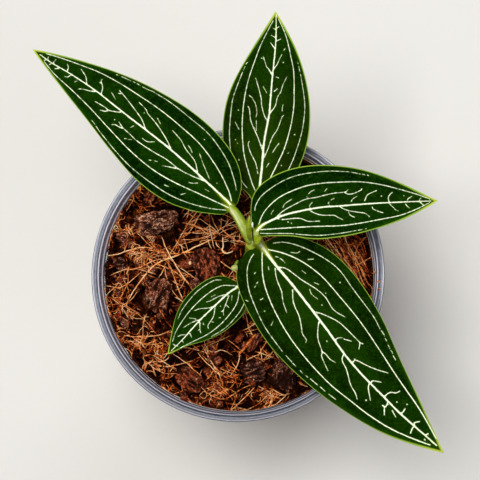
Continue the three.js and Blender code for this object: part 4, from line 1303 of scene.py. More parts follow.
def build_pot(finishes):
    """One profile turned about Z. The rim has a round bead at its lip and another at the mouth."""
    top, rim, mouth, low = POT["height"], POT["rim_radius"], POT["mouth_radius"], POT["ledge_radius"]
    foot, floor, floor_top = POT["foot_radius"], POT["floor_radius"], POT["floor_top"]
    boss, recess, ring = POT["boss_radius"], POT["recess"], foot - POT["foot_ring_width"]
    band, lip = top - POT["band_height"], top - POT["rim_thickness"]
    band_radius = inner_radius_at(band) + POT["wall"]
    out = low + 1.75
    under = [(0, 0), (boss * 0.6, 0), (boss, 0), (boss + 0.5, 0.3), (boss + 1, recess), (ring - 1, recess),
             (ring - 0.5, 0.3), (ring, 0), (foot - 0.6, 0), (foot - 0.2, 0.25), (foot, 0.8)]
    outside = [(foot + (h - 0.8) / (band - 0.8) * (band_radius - foot), h) for h in np.linspace(3, band, 24)]
    collar = [(band_radius + 0.25, band + 0.1), (out - 0.3, band + 0.7), (out, band + 1.1),
              (out + 0.1, band + 4), (out + 0.2, lip - 0.5), (out + 0.45, lip), (rim - 0.35, lip),
              (rim - 0.1, lip + 0.1), (rim, lip + 0.35)]
    arc = np.linspace(0, math.pi, 9)
    beads = [[(middle + 0.3 * math.cos(a), top - 0.3 + 0.3 * math.sin(a)) for a in arc]
             for middle in (rim - 0.3, mouth + 0.3)]
    flat = [(rim - 0.72, top - 0.36), (mouth + 0.72, top - 0.36)]
    throat = [(mouth - 0.05, top - 0.8), (low + 0.4, LEDGE + 0.8), (low + 0.32, LEDGE + 0.25),
              (low + 0.1, LEDGE + 0.05), (low, LEDGE - 0.35)]
    inside = [(inner_radius_at(h), h) for h in np.linspace(LEDGE - 2, floor_top + 2.5, 20)]
    bottom = [(floor - 0.3, floor_top + 0.8), (floor - 1, floor_top + 0.1), (floor - 2, floor_top),
              (10, floor_top), (0, floor_top)]
    profile = under + outside + collar + beads[0] + flat + beads[1] + throat + inside + bottom
    facets = 180
    points, walls, ends = revolved(profile, facets)
    first_rim = len(under) + len(outside) + 4
    last_rim = len(profile) - len(bottom) - len(inside) - 1
    row = np.arange(len(walls)) // facets
    shade = np.concatenate(((row >= first_rim) & (row < last_rim), np.zeros(len(ends), bool)))
    piece = make_piece("pot_fine", points, [walls, ends], [finishes["wall"], finishes["rim"]],
                       replaced=("pot",), face_material=shade)
    drain_pot(piece)
    return piece


def drain_pot(piece):
    """Cuts the drainage holes with one cutter, which is then removed."""
    radius = POT["drain_hole_radius"]
    points, walls, ends = revolved([(0, -4), (radius, -4), (radius, 6), (0, 6)], 28)
    places = round_axis(POT["drain_circle"], all_round(POT["drain_holes"]), np.zeros(POT["drain_holes"]))
    points, groups = joined([(points + place, walls, ends) for place in places])
    mesh = bpy.data.meshes.new("drain_cutter")
    mesh.from_pydata((points * MM).tolist(), [], [face for group in groups for face in group.tolist()])
    cutter = bpy.data.objects.new("drain_cutter", mesh)
    bpy.context.scene.collection.objects.link(cutter)
    cut = piece.modifiers.new("drain_holes", "BOOLEAN")
    cut.operation = "DIFFERENCE"
    cut.solver = "EXACT"
    cut.object = cutter
    bpy.context.view_layer.objects.active = piece
    bpy.ops.object.modifier_apply(modifier=cut.name)
    bpy.data.objects.remove(cutter)
    bpy.data.meshes.remove(mesh)


# ------------ potting mix

LOW_BANK = 172.0  # bearing in degrees at which the mix climbs the wall least

# Hollows between the fibres, dark from the painted shade on the fibres sunk in them and on the bed: place in
# the front view and radius in millimetres.
HOLLOWS = [
    ((138, 301), 2.2), ((135, 267), 1.6), ((176, 236), 1.8), ((164, 281), 1.6), ((168, 318), 1.8),
    ((228, 262), 2.6), ((234, 330), 4.0), ((205, 368), 1.4), ((155, 381), 1.8), ((120, 262), 1.5),
    ((192, 300), 1.6), ((214, 222), 1.6), ((146, 208), 1.6), ((112, 322), 1.5), ((240, 391), 1.6),
    ((183, 396), 1.5), ((350, 292), 2.0), ((128, 358), 1.4),
]


def hollow(x, y):
    """How hollow the bed is, about -1 to 1 and up to 2.5 in the marked hollows: slow ripples plus a
    rounded pit for each."""
    flat = packed(x, y)
    depth = ripples(flat, 9.0, 77)
    for place, radius in HOLLOWS:
        centre = from_view(place, MIX_SURFACE)[:2]
        depth = depth + 2.0 * np.exp(-(np.sum((flat - centre) ** 2, axis=-1) / radius**2))
    return depth


def over_chip(x, y):
    """1 over the middle of a chip, 0 from a quarter beyond its edge: the largest of the soft ellipses."""
    most = np.zeros(np.shape(x))
    for chip in CHIPS:
        turn = math.radians(chip["turn"])
        dx, dy = x - chip["at"][0], y - chip["at"][1]
        u = (dx * math.cos(turn) + dy * math.sin(turn)) / chip["half"][0]
        v = (dy * math.cos(turn) - dx * math.sin(turn)) / chip["half"][1]
        most = np.maximum(most, smoothstep(1.5, 0.85, u * u + v * v))
    return most


def bank(x, y):
    """How far the mix climbs the wall: a smooth step over its last 2.5 mm, uneven round the pot."""
    reach = np.hypot(x, y)
    bearing = packed(x, y) / np.maximum(reach, 1)[..., None]
    uneven = 1.9 + 1.0 * ripples(bearing, 0.32, 78) + 0.6 * ripples(bearing, 0.1, 79)
    towards = math.radians(LOW_BANK)
    low = smoothstep(0.86, 0.97, bearing[..., 0] * math.cos(towards) + bearing[..., 1] * math.sin(towards))
    uneven += low * (1.4 + 0.3 * ripples(bearing, 0.1, 79) - uneven)
    return np.clip(uneven, 0, 2.8) * smoothstep(38.5, 41.5, reach)


def bed_surface(points):
    """Height of the crumb: the solid's surface, 1.7 mm lower, less the hollows, plus small ripples and
    the bank at the wall."""
    x, y = points[..., 0], points[..., 1]
    flat = packed(x, y)
    lumps = 0.45 * ripples(flat, 2.8, 32) + 0.25 * ripples(flat, 1.2, 33)
    return surface_at(x, y) - 1.7 - 0.8 * hollow(x, y) + lumps + 1.2 * bank(x, y)


def build_bed(finishes):
    """A closed bed: its top is a grid of rings, its side follows the pot's wall, both roughened."""
    facets, rings = 300, 78
    foot = POT["floor_top"] + 0.3
    edge = inner_radius_at(MIX_SURFACE) - 0.15
    side_heights = np.linspace(foot + 1.5, MIX_SURFACE - 0.8, 46)
    profile = [(0, foot), (12, foot), (24, foot), (POT["floor_radius"] - 1.6, foot)]
    profile += [(inner_radius_at(h) - 0.4, h) for h in side_heights]
    profile += [(edge * (1 - k / rings), MIX_SURFACE) for k in range(rings)]
    profile += [(0, MIX_SURFACE)]
    points, walls, ends = revolved(profile, facets)
    radius = np.hypot(points[:, 0], points[:, 1])
    on_top = points[:, 2] > MIX_SURFACE - 0.01
    on_side = ~on_top & (points[:, 2] > foot + 1)
    rough = 0.35 * ripples(points, 3.0, 41) + 0.3 * ripples(points, 1.3, 42) - 0.4
    pull = np.where(on_side, 1 + np.minimum(rough, 0.1) / np.maximum(radius, 1), 1.0)
    points[:, :2] *= pull[:, None]
    height = bed_surface(points)
    points[:, 2] = np.where(on_top, height, points[:, 2])
    return make_piece("coir_bed", points, [walls, ends], [finishes["bed"]],
                      replaced=("potting_mix",))


def fibre_paths(random, count, steps, lengths, curl, heights, radius_limit, start=None, crinkle=0.12):
    """Fibres lying in the bed. A fibre's heading starts anywhere and turns by an even bend, a sine and
    the running sum of small random turns. Its place is the running sum of its steps, held inside the
    wall, and its height over the bed is a random level plus an arch."""
    each = partial(random.uniform, size=(count, 1))
    spread = partial(random.normal, size=(count, 1))
    if start is None:
        reach = radius_limit * np.sqrt(random.uniform(0, 1, count))
        start = round_axis(reach, random.uniform(0, TURN, count))
    s = np.linspace(0, 1, steps)[None, :]
    stride = each(*lengths) / (steps - 1)
    heading = each(0, TURN) + curl * spread() * s
    swing = 0.5 * curl * spread()
    pace, phase = each(0.4, 1.4), each(0, 1)
    heading = heading + swing * np.sin(TURN * (s * pace + phase))
    heading = heading + crinkle * np.cumsum(random.normal(size=(count, steps)), axis=1)
    flat = np.cumsum(round_axis(1, heading), axis=1)
    flat = start[:, None, :] + (flat - flat[:, steps // 2:steps // 2 + 1]) * stride[..., None]
    flat = held_inside(flat, radius_limit)
    level = each(*heights)
    arch = each(-0.6, 1.0) * np.sin(math.pi * s) - 0.3
    sway = 0.25 * np.sin(TURN * (s * 2.3 + each(0, 1)))
    x, y = flat[..., 0], flat[..., 1]
    height = surface_at(x, y) + level + arch + sway - np.maximum(hollow(x, y), -0.4) + bank(x, y)
    height = np.minimum(height, LEDGE + 1.2)
    height -= 4.0 * over_chip(x, y) * (each(0, 1) > 0.08)
    flat = held_inside(flat, inner_radius_at(height) - 0.3)
    return np.concatenate((flat, height[..., None]), axis=-1)


def fibre_piece(name, random, paths, thick, tones, finish):
    """Three-sided fibres, thinner at their ends, each with one tone that is painted darker, down to near
    black, as shade where the fibre lies deep in the bed.
    """
    count, steps, _ = paths.shape
    thin_ends = 0.45 + 0.55 * np.sin(math.pi * np.linspace(0.06, 0.94, steps)) ** 0.5
    radii = random.uniform(*thick, count)[:, None] * thin_ends[None, :]
    points, walls, ends = tubes(paths, radii, 3)
    x, y = paths[..., 0], paths[..., 1]
    above = paths[..., 2] - surface_at(x, y) - bank(x, y)
    # painted shade: the deeper a fibre lies below the bed's top, the darker its tone
    sunk = smoothstep(1.4, 0.0, above) * (paths[..., 2] > MIX_SURFACE - 6)
    tone = np.repeat((tones[:, None] * (1.06 - 0.98 * sunk)).ravel(), 3)
    return make_piece(name, points, [walls, ends], [finish], values={"tone": tone})


def random_tones(random, count, dark=0.33, light=0.26):
    """Three kinds of fibre: a dark share, a light share and middle browns."""
    kind = random.uniform(size=count)
    tones = random.uniform(0.38, 0.64, count)
    tones = np.where(kind < dark, random.uniform(0.0, 0.34, count), tones)
    return np.where(kind > 1 - light, random.uniform(0.68, 0.98, count), tones)


# Long fibres that lie on top: points in the front view as x, y, x, y and so on, height over the bed,
# radius and tone.
LONG_STEPS, LONG_SIDES = 26, 6
LONG_FIBRES = [
    ((127, 301, 135, 289, 145, 276, 154, 266, 168, 259, 188, 250, 205, 242, 216, 236), 2.2, 0.3, 0.86),
    ((161, 236, 167, 250, 175, 264, 182, 275, 191, 287), 2.6, 0.24, 0.93),
    ((102, 255, 117, 254, 131, 250, 144, 247, 160, 250), 2.0, 0.22, 0.9),
    ((135, 230, 147, 243, 158, 252, 168, 259), 1.9, 0.15, 0.8),
    ((145, 233, 153, 245, 161, 254, 170, 266, 176, 277), 1.8, 0.14, 0.75),
    ((168, 262, 173, 275, 179, 290, 184, 302), 1.7, 0.2, 0.82),
    ((165, 262, 166, 276, 172, 290, 180, 300), 1.6, 0.17, 0.72),
    ((166, 266, 162, 273, 158, 277), 2.2, 0.2, 0.95),
    ((109, 275, 124, 270, 138, 268, 152, 262, 166, 258), 1.8, 0.2, 0.82),
    ((104, 285, 118, 287, 131, 281, 142, 271), 1.7, 0.17, 0.78),
    ((182, 222, 196, 226, 208, 231, 218, 234), 2.0, 0.18, 0.85),
    ((179, 234, 192, 233, 205, 233, 219, 234), 2.1, 0.15, 0.8),
    ((188, 224, 199, 228, 211, 230, 220, 234), 2.2, 0.13, 0.88),
    ((199, 218, 207, 224, 214, 229, 219, 234), 2.0, 0.13, 0.75),
    ((211, 217, 214, 224, 218, 230, 220, 236), 2.0, 0.13, 0.8),
    ((221, 217, 221, 224, 220, 231), 2.0, 0.13, 0.82),
    ((229, 218, 226, 224, 222, 230), 2.0, 0.13, 0.76),
    ((239, 226, 231, 228, 224, 231, 219, 234), 2.1, 0.14, 0.8),
    ((243, 236, 234, 236, 226, 236, 219, 234), 2.0, 0.13, 0.7),
    ((180, 240, 194, 239, 207, 236, 219, 233), 2.2, 0.14, 0.82),
    ((172, 247, 186, 243, 199, 239, 213, 236), 1.9, 0.12, 0.75),
    ((222.5, 237, 223, 242, 223, 246.5, 221.6, 249, 223.4, 252, 226.5, 253.2, 230, 252, 233, 250), 2.4,
      0.3, 1.15),
    ((216, 240, 217, 245, 220, 248), 2.0, 0.18, 0.95),
    ((197, 352, 205, 361, 213, 369, 221, 376), 1.8, 0.18, 0.9),
    ((201, 344, 209, 358, 215, 368, 222, 376), 1.9, 0.17, 0.85),
    ((202, 355, 212, 364, 224, 376), 1.6, 0.14, 0.78),
    ((172, 353, 185, 362, 193, 369, 201, 376), 1.8, 0.17, 0.86),
    ((150, 362, 163, 366, 176, 365, 192, 360), 1.7, 0.17, 0.84),
    ((142, 358, 154, 368, 168, 374, 180, 372), 1.6, 0.15, 0.8),
    ((257, 333, 250, 340, 246, 346, 241, 352, 238, 356), 2.2, 0.5, 0.52),
    ((240, 352, 239, 360, 236, 368, 229, 377), 2.0, 0.2, 0.8),
    ((246, 361, 253, 357, 260, 354), 2.0, 0.16, 0.88),
    ((232, 355, 222, 350, 214, 352, 204, 349), 1.9, 0.15, 0.84),
    ((113, 332, 127, 336, 143, 337, 158, 335, 170, 330), 1.8, 0.18, 0.84),
    ((118, 345, 131, 341, 148, 344, 163, 343), 1.7, 0.15, 0.78),
    ((108, 296, 118, 303, 126, 314, 131, 326), 1.7, 0.17, 0.82),
    ((112, 312, 122, 306, 131, 300, 138, 290), 1.6, 0.15, 0.78),
    ((225, 410, 238, 408, 251, 410, 263, 408), 1.6, 0.15, 0.84),
    ((258, 386, 268, 391, 280, 395, 292, 393), 1.7, 0.15, 0.84),
    ((373.5, 274, 374.8, 271.2, 377.3, 270.4), 4.0, 0.26, 0.66),
    ((376.2, 281.6, 378.4, 281, 380.2, 281.9), 7.1, 0.26, 0.6),
    ((377.2, 289.4, 378.8, 288.2, 380.4, 288.6), 7.5, 0.22, 0.55),
]
KNOB = ((190.0, 263.0), 1.6)  # a pale knob: its place in the front view and its height over the bed
KNOB_HALF = (0.45, 0.55, 0.4)
KNOB_TONE = 0.95

# Matted clumps: place in the front view, radius in millimetres and how light they are.
CLUMPS = [((226, 386), 5.5, 0.1), ((153, 351), 4.4, 0.15), ((138, 345), 3.6, 0.1), ((144, 193), 4.0, 0.0),
          ((262, 400), 4.0, 0.05), ((170, 384), 3.4, 0.0), ((205, 402), 3.6, 0.0), ((129, 231), 5.0, 0.15),
          ((145, 240), 4.4, 0.15), ((142, 222), 3.6, 0.1), ((114, 301), 4.4, 0.1), ((128, 317), 4.6, 0.1),
          ((116, 334), 3.6, 0.05), ((152, 258), 3.4, 0.1), ((125, 255), 3.8, 0.15), ((139, 262), 3.6, 0.2)]


# Strands of husk whose fibres still lie side by side: both ends in the front view, width in
# millimetres, number of fibres, height over the bed and how light they are.
STRANDS = [
    (((337, 236), (372, 296)), 6.0, 30, 1.3, 0.5), (((352, 226), (376, 262)), 4.0, 16, 1.0, 0.55),
    (((318, 232), (352, 262)), 2.6, 10, 0.8, 0.4), (((262, 392), (292, 402)), 3.0, 11, 0.9, 0.55),
]


def strand_paths(random, ends, width, count, lift):
    """Fibres side by side: each runs from near one end to near the other, shifted across by its own
    share of the width, with a slow wave common to all and a small one of its own."""
    steps = 15
    each = partial(random.uniform, size=(count, 1))
    first, last = from_view(ends, MIX_SURFACE + lift)[:, :2]
    along = unit(last - first)
    across = np.array((-along[1], along[0]))
    begin = each(-0.12, 0.3)
    finish = each(0.7, 1.12)
    share = begin + (finish - begin) * np.linspace(0, 1, steps)[None, :]
    pace, phase = each(0.6, 1.6), each(0, 1)
    own = np.sin(TURN * (share * pace + phase))
    shift = each(-0.5, 0.5) * (1 + 0.35 * share) * width
    shift = shift + 0.5 * np.sin(4 * share) + 0.4 * own
    flat = first + share[..., None] * (last - first) + shift[..., None] * across
    flat = held_inside(flat, inner_radius_at(MIX_SURFACE) - 0.3)
    arch = 0.8 - 1.2 * (2 * share - 1) ** 2 - 1.6 * (shift / width) ** 2
    arch = arch + each(-1.4, 0.5)
    height = surface_at(flat[..., 0], flat[..., 1]) + lift + arch
    return np.concatenate((flat, height[..., None]), axis=-1)


def placed_fibres():
    """Paths, radii and tones of the long fibres, each lowered into the bed at both ends."""
    share = np.linspace(-1, 1, LONG_STEPS)
    paths, radii = [], []
    for pixels, lift, radius, _ in LONG_FIBRES:
        line = from_view(curve_through(pairs(pixels), LONG_STEPS), MIX_SURFACE + lift)
        line[:, 2] = surface_at(line[:, 0], line[:, 1]) + lift - 0.35 - 1.4 * np.abs(share) ** 6
        paths.append(line + 0.1 * wobble(line, 4, 60))
        radii.append(0.8 * radius * (1 - 0.35 * share**2))
    return np.array(paths), np.array(radii), [fibre[3] for fibre in LONG_FIBRES]


def build_fibres(sizes, finishes):
    """Fine, middling and long fibres, matted clumps, and fibres pressed against the wall."""
    random = np.random.default_rng(5)
    limit = inner_radius_at(MIX_SURFACE) - 0.25
    fine = fibre_paths(random, sizes.fine_fibres, 12, (5, 14), 0.9, (-2.0, 1.3), limit, crinkle=0.3)
    fibre_piece("coir_fine_fibres", random, fine, (0.07, 0.145), random_tones(random, len(fine)),
                finishes["coir"])
    middling = fibre_paths(random, sizes.coarse_fibres, 13, (12, 30), 0.6, (-0.6, 1.9), limit)
    fibre_piece("coir_coarse_fibres", random, middling, (0.11, 0.21),
                random_tones(random, len(middling), 0.25, 0.35), finishes["coir"])

    clump_parts, tones = [], []
    for place, size, light in CLUMPS:
        count = int(9 * size)
        centre = from_view(place, MIX_SURFACE + 1)[:2]
        start = centre + random.normal(size=(count, 2)) * size * 0.55
        clump_parts.append(fibre_paths(random, count, 12, (2.5, 7), 1.3, (0.3, 2.2), limit, start,
                                       crinkle=0.45))
        tones.append(random.uniform(0.25 + light, 0.75 + light, count))
    fibre_piece("coir_clumps", random, np.concatenate(clump_parts), (0.09, 0.16), np.concatenate(tones),
                finishes["coir"])

    for number, (ends, width, count, lift, light) in enumerate(STRANDS, start=1):
        strand = strand_paths(random, ends, width, count, lift)
        fibre_piece(f"coir_strand_{number}", random, strand, (0.1, 0.2),
                    random.uniform(light - 0.3, light + 0.3, count), finishes["coir"])

    paths, radii, tones = placed_fibres()
    tube = tubes(paths, radii, LONG_SIDES)
    knob_at, knob_lift = KNOB
    knob = lump(KNOB_HALF, 0, 0, from_view(knob_at, MIX_SURFACE + knob_lift))
    points, groups = joined([tube, knob])
    tone = np.concatenate((np.repeat(tones, LONG_STEPS * LONG_SIDES), np.full(len(knob[0]), KNOB_TONE)))
    make_piece("coir_long_fibres", points, groups, [finishes["coir"]], values={"tone": tone})
    build_wall_fibres(sizes, finishes, random)


def build_wall_fibres(sizes, finishes, random):
    """Fibres pressed against the clear wall: wound on the inner cone, at a depth of up to 0.5 mm."""
    count, steps = sizes.wall_fibres, 8
    each, spread = (partial(draw, size=(count, 1)) for draw in (random.uniform, random.normal))
    s = np.linspace(-0.5, 0.5, steps)[None, :]
    middle = each(0, TURN)
    height = each(POT["floor_top"] + 2, MIX_SURFACE - 1)
    slant = spread(0, 0.8)
    length = each(5, 20)
    bend = spread(0, 2.0)
    z = np.clip(height + length * s * np.sin(slant) + bend * (0.25 - s * s) * 4, POT["floor_top"] + 1.2,
                MIX_SURFACE + 0.3)
    radius = inner_radius_at(z) - 0.32 - each(0, 0.6)
    bearing = middle + length * s * np.cos(slant) / radius
    paths = round_axis(radius, bearing, z)
    fibre_piece("coir_wall_fibres", random, paths, (0.11, 0.3), random_tones(random, count, 0.25, 0.25),
                finishes["coir"])


# ------------ bark

def chip_points(chip, seed, rows, columns):
    """A lump broken along planes. In each direction it reaches the nearest of 24 random planes, softened
    by taking the 12th root of the sum of 12th powers, and its corners are drawn towards a block. Layered
    ridges along its length, deep splits and finer knocks are added outwards."""
    random = np.random.default_rng(seed)
    rays, walls, ends = ball(rows, columns)
    normals = unit(random.normal(size=(24, 3)))
    facing = np.maximum(rays @ (normals / random.uniform(0.8, 1.08, (24, 1))).T, 0)
    reach = np.minimum(np.sum(facing**12, axis=1) ** (-1 / 12), 1.2)
    block = np.sign(rays) * np.abs(rays) ** 0.75
    half = np.array(chip["half"])
    real = block * reach[:, None] * half
    grain = real if half[0] >= half[1] else real[:, [1, 0, 2]]
    plain = 0.75 if chip["red"] > 0.3 else 1.0
    layers = 1 - 2.2 * np.abs(ripples(grain * (0.45, 1.0, 1.0), 1.9, seed + 1))
    splits = -bell(ripples(grain * (0.35, 1.0, 1.0), 3.6, seed + 2), 0.14)
    knocks = 0.6 * ripples(real, 1.3, seed + 3) + 0.45 * ripples(real, 0.7, seed + 4)
    over = smoothstep(0.05, 0.6, rays[:, 2])
    out = (0.3 * layers + 0.75 * splits + 0.3 * plain * knocks) * min(1.0, half.mean() / 3.2)
    out *= plain * (0.5 + 0.5 * over)
    grown = real + unit(real) * out[:, None]
    place = np.array([*chip["at"], surface_at(*chip["at"]) + chip["lift"]])
    # relief carries painted light and shade for the bark's colour: low in splits and cracks and, by the next
    # line, on flanks that face down, as painted shade; high on the ridges, as painted highlights. dark
    # lowers it for chips whose own colour is darker.
    relief = 0.5 + 0.5 * np.clip(0.5 * layers + splits + 0.4 * knocks, -1, 1) - chip["dark"]
    relief += 0.06 - 0.4 * (1 - smoothstep(0.1, 0.5, rays[:, 2]))
    points = turned(grown, chip["turn"], chip["tilt"]) + place
    redness = np.full(len(points), chip["red"])
    return points, walls, ends, {"redness": redness, "local": (grain + seed) * MM, "relief": relief}


def build_chips(finishes):
    """One piece for each chip."""
    for number, chip in enumerate(CHIPS, start=1):
        large = chip["half"][0] + chip["half"][1] > 7
        rows, columns = (56, 78) if large else (26, 36)
        points, walls, ends, values = chip_points(chip, 100 + 7 * number, rows, columns)
        make_piece(f"bark_chip_{number:02d}_fine", points, [walls, ends], [finishes["bark"]],
                   replaced=(f"bark_chip_{number:02d}",), values=values)


# Reddish bits of husk: place in the front view and half size in millimetres.
BITS = [((186, 265), 1.8), ((184, 397), 1.2), ((204, 398), 1.4), ((215.5, 403), 1.3), ((240, 338), 1.5),
        ((118, 318), 1.2), ((154, 194), 1.4), ((215, 350), 1.2)]


def build_crumbs(sizes, finishes):
    """Small broken bits of husk on the bed and against the wall, all in one piece: one ball for all,
    scaled, roughened, turned and placed by random draws, apart from the placed ones."""
    random = np.random.default_rng(17)
    bit, walls, ends = ball(7, 9)
    block = np.sign(bit) * np.abs(bit) ** 0.6
    count = sizes.crumbs
    size = random.uniform(0.35, 1.5, (count, 1))
    size[:len(BITS), 0] = [bit_size for _, bit_size in BITS]
    half = size * random.uniform(0.6, 1.3, (count, 3))
    knocks = 1 + 0.16 * random.normal(size=(count, len(bit)))
    shape = block[None] * half[:, None, :] * knocks[..., None]
    spin = random.uniform(0, TURN, count)
    lean = random.uniform(-0.6, 0.6, count)
    c, s, k, m = np.cos(spin), np.sin(spin), np.cos(lean), np.sin(lean)
    zero = np.zeros(count)
    turn = packed(c, -s * k, s * m, s, c * k, -c * m, zero, m, k).reshape(count, 3, 3)
    shape = shape @ turn.transpose(0, 2, 1)
    limit = inner_radius_at(MIX_SURFACE) - 1.6
    on_top = count * 3 // 5
    reach = limit * np.sqrt(random.uniform(0, 1, on_top))
    bearing = random.uniform(0, TURN, count)
    x, y = round_axis(reach, bearing[:on_top]).T
    top = packed(x, y, surface_at(x, y) + random.uniform(-0.9, 0.5, on_top))
    top[:len(BITS)] = from_view([place for place, _ in BITS], MIX_SURFACE + 0.3)
    z = random.uniform(POT["floor_top"] + 2, MIX_SURFACE - 2, count - on_top)
    side_reach = inner_radius_at(z) - 0.45 - half[on_top:].max(axis=1) * 1.35
    side = round_axis(side_reach, bearing[on_top:], z)
    points = (shape + np.concatenate((top, side))[:, None, :]).reshape(-1, 3)
    start = (np.arange(count) * len(bit))[:, None, None]
    redness = random.uniform(0, 1, count)
    redness[:len(BITS)] = 0.95
    redness = np.repeat(redness, len(bit))
    groups = [(walls[None] + start).reshape(-1, 4), (ends[None] + start).reshape(-1, 3)]
    return make_piece("husk_crumbs", points, groups, [finishes["bark"]],
                      values={"redness": redness, "local": points * MM, "relief": 0.5 + 0 * redness})


# ------------ stage

# Soft square lamps: place in metres, side in metres, power in watts and colour.
LAMPS = {
    "overhead": {"at": (-0.3, 0.15, 1.9), "side": 0.9, "power": 33.0, "colour": (1.0, 0.98, 0.94)},
    "fill": {"at": (1.3, -1.1, 1.2), "side": 1.4, "power": 5.0, "colour": (0.95, 0.97, 1.0)},
    "back": {"at": (0.5, 1.5, 0.9), "side": 0.9, "power": 9.0, "colour": (1.0, 1.0, 1.0)},
}
SKY_LIGHT = 0.12
SKY_COLOUR = (0.95, 0.97, 1.0)
FLOOR_SIDE = 8000.0  # millimetres


def standing(place, right, up, back):
    """A matrix that puts something at a place, in metres, with its axes along three directions."""
    rows = [(*axis, 0) for axis in (right, up, back)]
    matrix = Matrix(rows + [(0, 0, 0, 1)]).transposed()
    matrix.translation = place
    return matrix


def aimed(place, aim):
    """A matrix that puts something at a place and turns its -Z to the aim."""
    back = unit(np.subtract(place, aim))
    right = unit(np.cross((0.0, 1.0, 0.0) if abs(back[2]) > 0.9 else (0.0, 0.0, 1.0), back))
    return standing(place, right, np.cross(back, right), back)


def build_stage(finish):
    """Floor under the foot, three soft lamps, an even pale sky and the camera."""
    half = FLOOR_SIDE / 2
    corners = [(-half, -half, 0), (half, -half, 0), (half, half, 0), (-half, half, 0)]
    mesh = bpy.data.meshes.new("floor")
    mesh.from_pydata([tuple(v * MM for v in corner) for corner in corners], [], [(0, 1, 2, 3)])
    mesh.materials.append(finish)
    floor = bpy.data.objects.new("floor", mesh)
    bpy.context.scene.collection.objects.link(floor)
    aim = np.array(VIEW_AIM) * MM
    for name, lamp in LAMPS.items():
        light = bpy.data.lights.new(name, "AREA")
        light.shape = "SQUARE"
        light.size = lamp["side"]
        light.energy = lamp["power"]
        light.color = lamp["colour"]
        holder = bpy.data.objects.new(name, light)
        holder.matrix_world = aimed(lamp["at"], aim)
        bpy.context.scene.collection.objects.link(holder)
    world = bpy.data.worlds.new("pale_sky")
    world.use_nodes = True
    sky = world.node_tree.nodes["Background"].inputs
    sky["Strength"].default_value = SKY_LIGHT
    sky["Color"].default_value = (*SKY_COLOUR, 1)
    scene = bpy.context.scene
    scene.world = world
    camera = bpy.data.cameras.new("front_view")
    camera.lens = VIEW_LENS
    camera.sensor_width = VIEW_SENSOR
    holder = bpy.data.objects.new("front_view", camera)
    right, up, forward = view_axes()
    holder.matrix_world = standing(np.array(VIEW_EYE) * MM, right, up, -forward)
    scene.collection.objects.link(holder)
    scene.camera = holder
    scene.view_settings.view_transform = "Standard"


# ------------ add-on

def linear(red, green, blue):
    """Linear colour of an 8-bit one: the standard curve, a straight foot and then a power of 2.4."""
    shares = [value / 255 for value in (red, green, blue)]
    return tuple(s / 12.92 if s <= 0.04045 else ((s + 0.055) / 1.055) ** 2.4 for s in shares)


def colour(name, description, red, green, blue):
    """A colour setting, from 8-bit values."""
    return FloatVectorProperty(name=name, description=description, default=linear(red, green, blue),
                               subtype="COLOR", size=3, min=0, max=1)


class OrchidSizes(bpy.types.PropertyGroup):
    """How fine the pieces are and how much there is of each."""
    leaf_grid: FloatProperty(name="Leaf grid", description="Distance between the points of a blade",
                             default=0.00031, min=0.0001, unit="LENGTH")
    nerve_width: FloatProperty(name="Nerve width", description="Widths of the nerves over their usual ones",
                               default=1.0, min=0.2, max=3)
    fine_fibres: IntProperty(name="Fine fibres", description="Thin fibres on the mix", default=2200, min=1)
    coarse_fibres: IntProperty(name="Coarse fibres", description="Thicker fibres on the mix",
                               default=720, min=1)
    wall_fibres: IntProperty(name="Wall fibres", description="Fibres pressed against the clear wall",
                             default=1900, min=1)
    crumbs: IntProperty(name="Crumbs", description="Small bits of husk", default=380, min=5)


class OrchidColours(bpy.types.PropertyGroup):
    """Colours of the pieces."""
    leaf_dark: colour("Leaf dark", "Darkest green of the blades", 0, 14, 0)
    leaf_green: colour("Leaf green", "Main green of the blades", 10, 42, 0)
    # also the painted sheen along the midrib
    leaf_light: colour("Leaf light", "Lighter green beside the nerves", 36, 80, 4)
    leaf_olive: colour("Leaf olive", "Olive at the base of a young blade", 62, 80, 4)
    margin: colour("Margin", "Thin line along the blade's edge", 152, 186, 66)
    margin_tip: colour("Margin at the tip", "The line where it reaches the tip", 188, 206, 70)
    nerve: colour("Nerve", "Boldest nerves", 246, 255, 224)
    nerve_faint: colour("Faint nerve", "Faintest nerves", 176, 196, 128)
    underside: colour("Underside", "Lower face of the blades", 112, 132, 84)
    petiole: colour("Petiole", "Leaf stalks", 162, 178, 34)
    petiole_deep: colour("Petiole deep", "Greenest part of the stalks", 100, 128, 2)
    petiole_channel: colour("Petiole channel", "Pale channel on the stalks", 228, 232, 176)
    stem: colour("Stem", "Skin of the stem", 134, 144, 22)
    sheath: colour("Sheath", "Thin sheaths round the stem", 188, 196, 62)
    coir: colour("Coir", "Usual fibre", 204, 86, 26)
    coir_light: colour("Light coir", "Light fibre", 255, 170, 94)
    coir_cream: colour("Cream coir", "Palest fibre", 255, 216, 166)
    bark: colour("Bark", "Dark chips", 128, 73, 54)
    bark_red: colour("Red bark", "Red-brown chips", 168, 70, 32)
    # pale flecks of the husk, also used for painted highlights and glints on the ridges
    bark_fleck_and_glint: colour("Bark flecks", "Pale flecks on the chips", 246, 188, 152)
    plastic: colour("Plastic", "Clear plastic of the pot", 150, 158, 186)
    # painted highlights on the rim's edges
    plastic_edge_highlight: colour("Plastic edge", "Bright edges of the rim", 208, 208, 224)
    floor: colour("Floor", "Plain floor", 228, 227, 224)


class BuildStep(bpy.types.Operator):
    """Base of the steps."""
    bl_options = {"REGISTER", "UNDO"}

    @property
    def sizes(self):
        return bpy.context.scene.orchid_sizes

    @property
    def colours(self):
        return bpy.context.scene.orchid_colours


class ORCHID_OT_pot(BuildStep):
    """Clear pot with its flat rim"""
    bl_idname = "orchid.pot"
    bl_label = "Pot"

    def execute(self, context):
        build_pot({"wall": finish_wall(self.colours), "rim": finish_rim(self.colours)})
        return {"FINISHED"}


